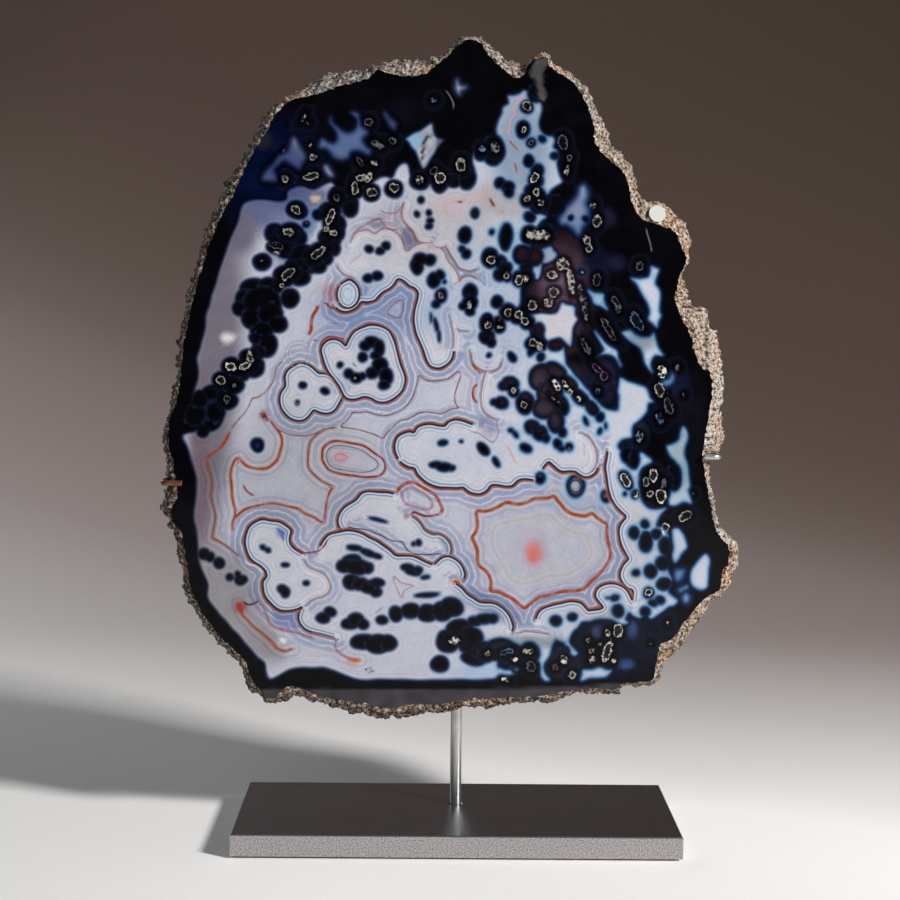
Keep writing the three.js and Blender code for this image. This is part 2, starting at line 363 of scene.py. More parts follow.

# The rind: by the share of its width, painted shade left and painted light right; by height in metres low
# down, and at the top with painted top light on a greyer crust; and by noise
RIND_PAINTED_SIDE_LIGHT_STOPS = [
    (0.0, (62, 52, 46), 1.0),
    (0.25, (120, 112, 104), 1.0),
    (0.7, (202, 173, 151), 1.0),
    (0.9, (226, 192, 166), 1.0),
    (0.945, (244, 232, 222), 1.0),
]
RIND_HEIGHT_STOPS = [
    (0.07, (142, 112, 88), 1.0),
    (0.1, (142, 112, 88), 0.6),
    (0.14, (150, 128, 110), 0.0),
]
RIND_PAINTED_TOP_LIGHT_STOPS = [
    (0.36, (186, 178, 168), 0.0),
    (0.41, (186, 178, 168), 0.8),
]
RIND_PATCH_STOPS = [
    (0.36, (96, 78, 64), 0.6),
    (0.48, (150, 128, 108), 0.15),
    (0.54, (214, 160, 112), 0.2),
    (0.66, (214, 148, 94), 0.85),
]
RIND_GRAIN_STOPS = [
    (0.0, (14, 10, 9), 1.0),
    (0.26, (30, 22, 19), 0.9),
    (0.42, (96, 78, 64), 0.35),
    (0.5, (160, 140, 122), 0.0),
    (0.64, (246, 238, 228), 0.4),
    (0.84, (255, 250, 242), 0.85),
]

# The stage's painted shade, pale in front and darker to the back, the top and the right, by the slanted
# distance over it in metres
SWEEP_PAINTED_SHADE_STOPS = [
    (-0.6, (255, 255, 255), 1.0),
    (0.18, (255, 255, 255), 1.0),
    (0.28, (238, 237, 237), 1.0),
    (0.42, (222, 221, 221), 1.0),
    (0.52, (209, 206, 206), 1.0),
    (0.7, (191, 185, 184), 1.0),
    (0.9, (169, 158, 157), 1.0),
    (1.1, (153, 141, 138), 1.0),
    (1.26, (141, 129, 126), 1.0),
    (1.4, (123, 110, 105), 1.0),
    (1.52, (111, 97, 92), 1.0),
    (1.66, (102, 88, 82), 1.0),
    (1.8, (96, 81, 76), 1.0),
    (1.95, (91, 76, 71), 1.0),
    (2.2, (87, 72, 66), 1.0),
    (2.4, (79, 68, 61), 1.0),
    (2.7, (69, 60, 52), 1.0),
]

# Painted shade in a groove on the rind's right side, beside a ridge, in picture points
RIND_GROOVE_SHADE_LINE = [(706.5, 326), (706.5, 340), (706, 356), (707, 369)]

# Soft patches of colour on the light and on the dark ground: an ellipse (x, y, two radii, turn), a colour
GROUND_PATCHES = [
    ((440, 230, 70, 40), (174, 174, 184)),
    ((500, 300, 60, 60), (168, 178, 198)),
    ((375, 310, 60, 32), (154, 166, 192)),
    ((425, 440, 90, 40), (186, 190, 205)),
    ((300, 470, 70, 60), (170, 172, 184)),
    ((216, 370, 24, 190, 5), (116, 111, 125)),
    ((200, 470, 9, 90), (116, 102, 112)),
    ((222, 590, 34, 50, -30), (146, 143, 149)),
    ((262, 642, 26, 16, 40), (148, 142, 150)),
    ((262, 206, 40, 26), (98, 104, 140)),
    ((240, 232, 18, 22), (106, 103, 122)),
    ((309, 222, 9, 22, 20), (110, 130, 166)),
    ((285, 236, 16, 30), (112, 120, 158)),
    ((285, 196, 56, 14), (92, 102, 138)),
    ((284, 166, 30, 30), (66, 75, 117)),
    ((348, 138, 40, 32), (84, 102, 142)),
    ((392, 125, 14, 14), (66, 74, 104)),
    ((425, 148, 24, 24), (146, 152, 166)),
    ((412, 142, 9, 9), (132, 168, 198)),
    ((432, 141, 6, 5), (160, 172, 182)),
    ((422, 155, 5, 8), (176, 180, 190)),
    ((441, 146, 6, 11), (92, 90, 106)),
    ((522, 150, 30, 62), (134, 149, 171)),
    ((502, 200, 34, 16), (166, 162, 170)),
    ((452, 206, 26, 14), (182, 173, 182)),
    ((575, 212, 22, 26), (120, 130, 157)),
    ((546, 258, 12, 16), (150, 152, 172)),
    ((556, 324, 26, 16), (195, 191, 200)),
    ((640, 340, 16, 12), (130, 140, 156)),
    ((598, 301, 12, 9), (146, 170, 194)),
    ((680, 460, 12, 40), (146, 160, 172)),
    ((678, 574, 12, 12), (70, 100, 152)),
    ((580, 545, 105, 66), (173, 175, 190)),
    ((570, 503, 34, 9, 10), (156, 168, 187)),
    ((490, 606, 34, 10, 25), (128, 136, 166)),
    ((530, 642, 40, 7), (136, 146, 160)),
    ((600, 612, 22, 7), (166, 158, 168)),
    ((535, 550, 14, 19), (170, 160, 178)),
    ((534, 553, 8, 11), (198, 122, 124)),
    ((532, 556, 4.5, 6.5, 20), (202, 112, 104)),
    ((480, 672, 26, 6), (168, 184, 208)),
    ((488, 425, 8, 12, -10), (158, 156, 180)),
    ((410, 238, 8, 8), (132, 124, 146)),
    ((378, 223, 9, 6), (150, 146, 160)),
    ((333, 293, 8, 8), (186, 140, 152)),
    ((341, 457, 9, 6), (190, 150, 160)),
    ((456, 582, 5, 3), (200, 104, 60)),
    ((353, 661, 7, 3.5), (196, 140, 100)),
    ((240, 607, 6, 6), (150, 70, 62)),
    ((348, 294, 9, 12), (176, 192, 210)),
]
DEEP_PATCHES = [
    ((268, 170, 46, 52), (5, 13, 44)),
    ((264, 141, 8, 8), (34, 33, 46)),
    ((400, 112, 30, 12), (10, 9, 17)),
    ((562, 292, 26, 46), (80, 56, 68)),
    ((577, 322, 8, 10), (46, 36, 52)),
    ((556, 287, 13, 17), (112, 90, 112)),
    ((540, 256, 9, 9), (46, 27, 31)),
    ((563, 347, 12, 8), (46, 28, 32)),
    ((546, 396, 42, 30), (56, 48, 60)),
    ((568, 384, 16, 9, 45), (66, 44, 44)),
    ((603, 382, 18, 22), (24, 27, 47)),
    ((632, 432, 14, 12), (34, 42, 60)),
    ((692, 430, 16, 44), (13, 13, 21)),
    ((600, 262, 16, 12), (12, 15, 34)),
    ((609, 218, 7, 9), (24, 23, 44)),
    ((582, 272, 5, 5), (60, 92, 156)),
    ((618, 262, 8, 7), (22, 24, 44)),
    ((676, 385, 12, 14), (18, 22, 46)),
    ((624, 640, 60, 34), (14, 18, 34)),
    ((626, 664, 8, 4.5), (52, 70, 120)),
    ((632, 630, 5, 8), (44, 60, 100)),
    ((597, 632, 5, 6), (48, 60, 96)),
    ((562, 662, 16, 14), (44, 44, 60)),
    ((500, 652, 24, 13), (30, 35, 49)),
    ((512, 670, 4, 3), (116, 146, 196)),
    ((575, 486, 7.5, 9.5), (116, 134, 168)),
    ((575, 486, 4, 5), (150, 162, 184)),
    ((575, 486, 2.2, 2.8), (192, 178, 158)),
    ((540, 474, 4, 2.5), (70, 110, 160)),
    ((604, 495, 2.6, 3.2), (112, 112, 122)),
    ((257, 445, 4, 4), (24, 40, 92)),
    ((371, 192, 7, 7), (58, 46, 84)),
    ((523, 255, 9, 9), (38, 22, 34)),
    ((475, 213, 3, 5), (56, 40, 80)),
    ((604, 376, 10, 11), (40, 30, 62)),
]

# Flat tints with an edge: softness in picture points, colour, outline. The first is a painted reflection of
# the floor along the polished face's bottom
FLAT_TINTS_AND_PAINTED_REFLECTION = [
    # painted reflection of the floor in the polished face, along its bottom
    (1.0, (66, 63, 69), [
        (262, 690), (310, 689), (360, 689.5), (440, 690), (500, 688.5), (540, 688), (580, 686.5),
        (620, 684), (640, 700), (560, 720), (440, 725), (300, 720), (255, 705),
    ]),
    (1.0, (72, 70, 71), [
        (533, 66), (538, 59), (547, 57), (547, 66), (543, 72), (543, 85), (546, 96), (541, 103), (537, 92),
        (536, 80), (530, 76),
    ]),
    (1.2, (132, 124, 146), [
        (402, 229), (410, 228), (414, 235), (419, 241), (412, 246), (408, 250), (405, 243), (402, 236),
    ]),
    (1.2, (150, 156, 188), [
        (272, 609), (282, 611), (292, 611), (299, 612), (297, 620), (300, 627), (290, 629), (280, 627),
        (273, 620),
    ]),
    (1.0, (84, 110, 168), [(276, 527), (286, 529), (287, 535), (284, 541), (279, 536)]),
    (1.0, (120, 44, 44), [(260, 417), (265, 410), (269, 421)]),
    (1.0, (150, 100, 120), [(405, 512), (410, 518), (404, 518)]),
    (0.8, (24, 20, 26), [
        (434, 134), (429, 134.5), (425, 138), (422.5, 143), (421.5, 150), (421.5, 157), (421, 162),
        (424, 157), (424.5, 150), (425.5, 144), (428, 139),
    ]),
    (1.2, (196, 172, 150), [(315, 195), (320, 197), (319, 201), (312, 201), (311, 197)]),
    (3.0, (216, 214, 218), [(222, 334), (228, 333), (235, 336), (232, 341), (226, 343), (221, 339)]),
    (1.2, (222, 220, 222), [(279, 637), (285, 638), (285, 643), (280, 643)]),
    (1.4, (74, 98, 130), [
        (455, 561), (461, 566), (464.5, 573), (463.5, 581), (460, 578), (460, 571), (457, 565),
    ]),
    (1.4, (74, 98, 130), [
        (438, 537), (444, 539), (449, 545), (450, 553), (446, 553), (445, 547), (441, 542),
    ]),
    (1.4, (90, 112, 142), [
        (283, 404), (286, 411), (292, 416), (300, 417), (300, 419.5), (291, 419), (284, 413), (281, 405),
    ]),
]

# Light ground, clockwise: the main body and windows in the dark
LIGHT_SHAPES = [
    [(588, 290), (594, 293), (603, 294), (604, 300), (608, 310), (601, 306), (594, 304), (591, 297)],
    [
        (243, 204), (252, 200), (262, 199), (277, 201), (286, 199), (288, 190), (300, 186), (313, 189),
        (326, 184), (333, 184), (340, 196), (352, 200), (359, 199), (366, 192), (376, 180), (385, 177),
        (392, 178), (397, 169), (403, 164), (408, 165), (410, 176), (416, 184), (430, 184), (441, 186),
        (452, 184), (461, 183), (474, 184), (475, 172), (473, 162), (475, 152), (483, 150), (497, 152),
        (502, 147), (499, 139), (496, 130), (498, 121), (502, 113), (503, 107), (508, 103), (508, 96),
        (514, 95), (520, 93), (524, 90), (528, 92), (531, 99), (536, 103), (541, 102), (542, 109),
        (540, 116), (539, 123), (541, 130), (546, 135), (552, 136), (555, 140), (553, 147), (557, 152),
        (557, 162), (558, 170), (560, 177), (562, 182), (557, 186), (551, 190), (547, 194), (544, 190),
        (538, 185), (530, 190), (528, 203), (533, 214), (540, 214), (546, 217), (540, 222), (532, 235),
        (528, 250), (520, 265), (520, 280), (521, 292), (520, 303), (515, 315), (525, 326), (530, 335),
        (527, 352), (530, 357), (537, 352), (545, 350), (548, 345), (553, 350), (560, 351), (564, 348),
        (565, 356), (566, 364), (571, 370), (577, 378), (583, 385), (590, 392), (596, 400), (603, 407),
        (609, 410), (617, 410), (619, 400), (618, 392), (620, 378), (628, 381), (637, 384), (645, 387),
        (648, 391), (650, 398), (653, 402), (648, 404), (647, 412), (640, 420), (634, 425), (632, 430),
        (631, 437), (622, 440), (618, 446), (621, 452), (623, 460), (629, 468), (634, 470), (638, 468),
        (640, 453), (646, 456), (652, 461), (645, 466), (640, 475), (638, 485), (641, 497), (646, 507),
        (655, 509), (666, 508), (662, 513), (658, 520), (656, 526), (662, 528), (668, 536), (664, 548),
        (664, 560), (668, 570), (672, 580), (668, 590), (673, 596), (678, 601), (674, 606), (668, 607),
        (662, 612), (655, 617), (650, 618), (646, 612), (640, 618), (633, 616), (629, 612), (625, 619),
        (628, 623), (622, 624), (614, 620), (606, 619), (597, 619), (590, 621), (582, 622), (578, 628),
        (572, 633), (569, 642), (574, 649), (578, 653), (573, 656), (568, 651), (556, 640), (550, 655),
        (545, 662), (544, 668), (546, 675), (550, 680), (545, 681), (541, 676), (541, 667), (538, 660),
        (535, 650), (520, 645), (505, 640), (490, 645), (478, 650), (470, 664), (486, 660), (496, 660),
        (498, 668), (512, 667), (517, 669), (516, 673), (509, 675), (500, 674), (494, 679), (478, 679.5),
        (450, 679.5), (430, 680), (410, 680), (390, 679), (370, 680), (355, 678.5), (345, 675.5),
        (335, 671), (325, 668), (315, 668), (303, 667), (290, 670), (280, 674.5), (270, 679), (266, 671),
        (264, 663), (256, 655.5), (247, 645.5), (238, 635), (229, 625), (220, 615), (212, 605),
        (207, 595), (207.5, 585), (205, 576), (200, 566), (198, 556), (198, 545), (196, 532), (194, 520),
        (194, 505), (196, 492), (196, 480), (194, 470), (190, 456), (187, 447), (183, 437), (188, 433),
        (196, 430), (200, 425), (196, 412), (193, 402), (194, 392), (197, 380), (198, 368), (197, 357),
        (200, 347), (203, 336), (205, 325), (206, 315), (209, 305), (212, 295), (215, 285), (218, 275),
        (221, 265), (224, 255), (228, 245), (231, 236), (236, 225), (239, 215),
    ],
    [
        (406, 138), (413, 134), (420, 131), (426, 126), (432, 124), (434, 131), (437, 137), (444, 140),
        (438, 147), (434, 154), (429, 162), (424, 168), (421, 166), (419, 159), (416, 153), (411, 147),
        (409, 142),
    ],
    [(541, 250), (550, 246), (553, 250), (557, 255), (553, 261), (546, 264), (542, 262), (543, 255)],
    [(534, 266), (541, 263), (541, 270), (539, 278), (536, 279), (533, 272)],
    [
        (531, 316), (540, 313), (550, 314), (557, 312), (561, 303), (566, 304), (574, 306), (575, 315),
        (578, 320), (573, 328), (572, 340), (571, 346), (566, 343), (560, 338), (553, 339), (549, 341),
        (545, 338), (544, 331), (540, 325), (534, 322),
    ],
    [
        (631, 278), (640, 279), (648, 277), (650, 270), (651, 266), (656, 268), (659, 270), (657, 276),
        (656, 284), (660, 292), (660, 310), (661, 316), (658, 322), (657, 327), (652, 323), (648, 319),
        (650, 312), (648, 305), (644, 298), (640, 290), (636, 283),
    ],
    [
        (622, 332), (630, 330), (635, 334), (642, 337), (650, 337), (654, 333), (656, 340), (658, 347),
        (663, 355), (656, 355), (652, 360), (651, 366), (652, 372), (648, 367), (644, 361), (642, 353),
        (639, 347), (632, 343), (628, 340), (624, 336),
    ],
    [
        (595, 331), (600, 336), (604, 341), (610, 346), (617, 351), (618, 358), (621, 366), (614, 362),
        (607, 359), (598, 358), (602, 353), (604, 349), (600, 342),
    ],
    [
        (683, 426), (687, 430), (688, 438), (686, 446), (685, 455), (687, 463), (689, 472), (690, 485),
        (688, 490), (690, 497), (692, 503), (684, 502), (676, 506), (669, 505), (669, 496), (672, 491),
        (678, 489), (682, 480), (680, 470), (676, 462), (671, 458), (668, 452), (667, 446), (672, 444),
        (678, 440), (680, 432),
    ],
    [
        (672, 530), (678, 528), (683, 533), (686, 542), (687, 548), (682, 554), (678, 560), (674, 563),
        (672, 556), (674, 548), (672, 538),
    ],
    [
        (705, 554), (710, 560), (709, 570), (708, 580), (707, 588), (700, 590), (693, 586), (690, 578),
        (691, 570), (696, 563),
    ],
    [
        (583, 670), (592, 669), (600, 667), (606, 670), (612, 671), (606, 677), (598, 678), (590, 678),
        (581, 681), (582, 675),
    ],
]

# Dim windows with soft edges
SOFT_WINDOWS = [
    [
        (294, 137), (301, 148), (306, 156), (303, 163), (299, 170), (292, 166), (284, 162), (278, 166),
        (275, 170), (277, 176), (278, 181), (270, 182), (262, 179), (266, 170), (273, 163), (277, 156),
        (284, 152), (288, 147),
    ],
    [
        (331, 117), (333, 123), (338, 127), (344, 131), (350, 132), (355, 129), (357, 124), (356, 118),
        (352, 113), (357, 113), (359, 119), (361, 125), (366, 129), (368, 133), (364, 138), (363, 142),
        (367, 147), (371, 150), (369, 154), (362, 152), (355, 151), (351, 153), (349, 158), (343, 160),
        (335, 158), (330, 153), (325, 149), (319, 147), (320, 141), (323, 138), (329, 142), (334, 143),
        (337, 139), (336, 133), (333, 128), (330, 123),
    ],
    [(324, 166), (328, 165), (331, 170), (333, 175), (329, 176), (325, 171)],
    [(385, 113), (392, 118), (397, 123), (395, 130), (389, 127), (386, 120)],
    [(457, 80), (460, 85), (466, 87), (461, 90), (459, 94), (456, 88)],
    [
        (566, 207), (572, 201), (577, 195), (580, 187), (585, 186), (588, 194), (586, 204), (589, 211),
        (586, 222), (582, 228), (578, 234), (572, 228), (566, 224), (561, 224), (560, 218), (564, 212),
    ],
    [(664, 382), (669, 380), (672, 375), (673, 378), (671, 383), (666, 385)],
    [(676, 570), (684, 570), (683, 577), (678, 581), (675, 577)],
    [(679, 590), (683, 587), (687, 585), (687, 588), (683, 590), (680, 592)],
    [(683, 597), (686, 594), (689, 597), (688, 601), (685, 602)],
]

# Dark round eyes: x, y, two radii and, for some, a turn in degrees clockwise
EYES = [
    (287, 178, 10.5, 11), (312, 176, 13, 13), (338, 198, 10, 12), (350, 206, 9, 12), (371, 192, 9.5, 9.5),
    (394, 189, 9.5, 9.5), (420, 180, 10.5, 10.5), (440, 181, 9.5, 12), (453, 180, 9, 8),
    (467, 178, 9.5, 11.5), (493, 150, 12, 16), (481, 151, 8, 10), (421, 200, 3.3, 3.3),
    (527, 107, 6.8, 6.8), (523, 129.5, 7.5, 9), (542, 139, 4, 4), (531, 143, 5, 5), (529, 161, 5.5, 6.5),
    (537, 171, 7, 7.5), (536, 180, 8, 9), (533, 191, 9, 8), (527, 200, 7.5, 8), (541, 203, 9, 9),
    (554, 205, 12, 12), (555, 156, 4.5, 4), (500, 183, 5.5, 5.5), (508, 187, 7, 6), (509, 192, 5.5, 6),
    (533, 93, 6, 10),
    (297, 210, 11, 9, 15), (306, 224, 3.5, 3.5), (275, 233, 10.5, 10), (290, 233, 14, 10), (300, 238, 7, 8),
    (278, 247, 12, 8), (288, 250, 13, 9), (262, 262, 9.5, 9), (302, 256, 15, 12), (318, 252, 14, 10, -35),
    (311, 265, 13, 9), (298, 268, 14, 12), (285, 276, 12, 11), (300, 277, 11, 9.5), (290, 298, 9.5, 10.5),
    (254, 289, 14, 11), (270, 287, 14, 10), (246, 300, 11, 12), (241, 308, 9, 8), (262, 303, 20, 18),
    (252, 318, 11, 11), (270, 315, 13, 14), (277, 324, 11, 9), (262, 330, 12, 9), (265, 345, 13, 13),
    (256, 338, 7, 7), (258, 352, 9, 8), (248, 357, 9, 8), (231, 366, 10, 9), (245, 368, 12, 10),
    (254, 367, 11, 11), (240, 374, 10, 8), (222, 381, 10, 10), (234, 385, 11, 9), (228, 400, 10, 9.5),
    (213, 395, 12, 10), (207, 414, 17, 18), (195, 415, 12, 13), (203, 430, 6, 7), (200, 400, 9, 10),
    (215, 412, 10, 11),
    (330, 212, 12, 10), (320, 215, 8, 6), (334, 224, 12, 12), (330, 238, 12, 12), (339, 233, 6, 8),
    (333, 248, 8, 8), (325, 258, 8, 8), (318, 266, 9, 8),
    (369, 249, 4.5, 3.5, 15), (386, 246, 4.5, 4.5), (380, 251, 4.5, 4), (368, 278, 5, 4.5),
    (377, 276, 6, 4.5), (417, 266, 6.5, 9), (421, 259, 8, 6), (430, 260, 6, 6), (434, 280, 7, 8),
    (440, 275, 5, 5.5),
    (444, 282, 2, 2.5), (441, 296, 6.5, 8, 15), (436, 304, 4.5, 4.5), (431, 318, 1.2, 4.5),
    (436, 325, 2, 7, -10), (439, 336, 1.5, 6, -8), (465, 235, 7, 8.5), (462, 249, 3.5, 4),
    (466, 254, 5, 5.5), (470, 292, 7.5, 8.5), (470, 303, 8, 8), (463, 306, 4.5, 4.5), (470, 311, 5.5, 5),
    (417, 214, 2.5, 3), (429, 213, 3, 3.5), (430, 221, 3.5, 3), (429, 226, 3.5, 3),
    (372, 342, 8, 6), (365, 346, 6, 5), (379, 348, 6, 9), (376, 355, 6, 5), (363, 357, 5, 5),
    (380, 366, 8, 9), (372, 373, 7, 6), (386, 376, 7.5, 9), (384, 385, 6, 5), (340, 365, 3.2, 3.2),
    (349, 374, 5, 5), (356, 378, 6.5, 5.5), (362, 376, 4, 4), (303, 385.5, 4, 3.5),
    (325, 391, 5, 3.5, 30), (297, 403, 2, 2.5), (475, 213, 4, 5.5, 15), (492, 232, 2.8, 3),
    (506, 237, 7.2, 14.5, 4), (490, 258, 8.5, 11), (500, 262, 7, 7), (505, 268, 8, 7), (500, 275, 7, 7),
    (507, 276, 6, 6.5), (519, 279, 8, 8.5), (527, 278, 8, 9.5), (530, 217, 6, 6), (530, 235, 10, 10.5),
    (545, 235, 12, 12), (523, 255, 11, 11), (535, 256, 9, 10), (497, 302, 6.5, 7), (508, 312, 9, 9),
    (519, 316, 10, 9), (527, 322, 8, 8.5), (487, 323, 8, 10), (499, 325, 7, 9), (487, 337, 8, 8),
    (491, 342, 5.5, 5.5), (538, 330, 7, 8), (535, 344, 10.5, 8.5), (541, 357, 4.5, 5), (556, 345, 9, 6.5),
    (512, 357, 4, 6, -25), (489, 355, 2.5, 2.5), (571, 218, 3, 3), (586, 219, 4, 4),
    (510, 384, 9, 8), (503, 386, 5, 5), (514, 392, 6, 6), (501, 403, 8, 6.5), (494, 402, 4, 4),
    (525, 403, 9.5, 12), (543, 378, 15, 15), (550, 395, 14, 16), (560, 405, 9, 12, -20),
    (545, 408, 13, 12), (556, 422, 9, 12), (562, 432, 5, 6), (556, 372, 13, 9, 35), (568, 384, 12, 8, 45),
    (580, 397, 12, 7, 45), (592, 408, 10, 6, 45), (600, 417, 5, 5.5), (586, 421, 2.5, 5, -20),
    (532, 427, 8, 8), (540, 433, 9, 8, 40), (546, 438, 4.5, 5), (604, 372, 17, 18), (602, 388, 13, 14),
    (610, 398, 9.5, 11.5), (600, 431, 2.5, 3.5, 20), (605.5, 426, 1.5, 3.5),
    (443, 443, 5, 3), (461, 441, 2, 1.5), (436, 465, 7, 3.5), (444, 467, 8, 4.5), (452, 468, 3.5, 3),
    (483, 449, 7.5, 5, 45), (496, 462, 2.8, 6, -30), (511, 430, 3, 2.5), (515, 434, 2.5, 4.5, -30),
    (526, 448, 6.5, 4.5, 35), (558, 444, 4.5, 6, -30), (562, 449, 4, 3), (569, 447, 4.5, 4.5),
    (626, 480, 6.5, 11, -25), (635, 494, 4.5, 5), (625, 494, 2, 2.5), (630, 444, 10, 6), (628, 455, 8, 9),
    (634, 460, 6, 10), (650, 478, 11, 14), (653, 492, 13, 15), (664, 484, 8, 18), (674, 477, 8, 15),
    (645, 524, 4.5, 5), (634, 533, 5.5, 6.5), (646, 542, 7.2, 11), (656, 534, 6, 6), (665, 546, 6.5, 10),
    (663, 563, 8, 8), (651, 571, 6.8, 7.5), (664, 584, 8, 6.5), (636, 573, 4.5, 3.5), (649, 593, 6, 6),
    (645, 612, 5.5, 5.5), (653, 603, 5, 4), (660, 600, 5.5, 4.5), (618, 611, 6.5, 7),
    (615, 598, 4.5, 3.3), (609, 597.5, 3, 1), (575.5, 486, 9.5, 11.5), (540, 478, 5.5, 6),
    (606, 496, 5.5, 6.5), (257.5, 445, 6.8, 7.2), (378, 520, 9, 1.8, 12), (414, 544, 2.5, 2),
    (419, 543, 3, 3.5), (355, 548, 8, 3, 10), (368, 553, 9, 3.5, 18), (377, 556, 5, 3, 20),
    (352, 561, 10, 7), (345, 566, 9, 7), (358, 567, 13, 8), (368, 568, 6, 6), (352, 582, 9, 8),
    (360, 584, 9, 7), (370, 587, 10, 7), (377, 583, 8, 4.5), (376, 592, 6, 5),
    (408, 568, 8, 4, 8), (413, 572, 8, 3.5, 8), (418, 570, 5, 4), (425, 577, 4.5, 2, -5),
    (427, 595, 12, 2.5, -5), (396, 614, 7, 8), (410, 611, 10, 8), (428, 613, 11, 9), (442, 611, 11, 10),
    (452, 607, 12, 9.5, 15), (382, 620, 6, 4.5), (330, 612, 6.5, 5), (323, 618, 7, 5.5),
    (350, 624, 9, 5.5), (356, 620, 9, 7), (363, 624, 6, 5.5), (364, 642, 14, 8), (378, 644, 14, 9.5),
    (388, 643, 9, 8.5), (439.5, 664, 9.5, 8.5), (448, 641, 12, 12), (460, 628, 14, 9), (470, 640, 14, 14),
    (475, 657, 14, 9), (485, 652, 14, 11), (500, 650, 17, 12), (508, 663, 11, 7), (529, 653, 11, 11),
    (531, 668, 10, 11), (520, 668, 10, 8), (475, 621, 8, 5), (485, 619, 10, 5.5), (493, 619, 5, 5),
    (556, 621, 6, 5.5), (572, 617, 5, 4.5), (559, 649, 7, 7), (565, 653, 6, 7), (556, 667, 11, 10),
    (571, 674, 10, 9), (567, 662, 10, 9),
    (204, 554, 6, 6), (210, 557, 5, 5), (219, 563, 5.5, 5.5), (230, 577.5, 3.5, 3.5), (238, 574, 3, 3),
    (240, 580, 5.5, 5.5), (243, 579, 4, 4), (263, 547, 3, 2.5, 40), (268, 550, 3.5, 2.5, 30),
    (285, 565, 4, 2.5, 5), (306, 583, 3.5, 2.5), (282, 589, 5, 4.5), (285, 592, 5, 5.5),
]

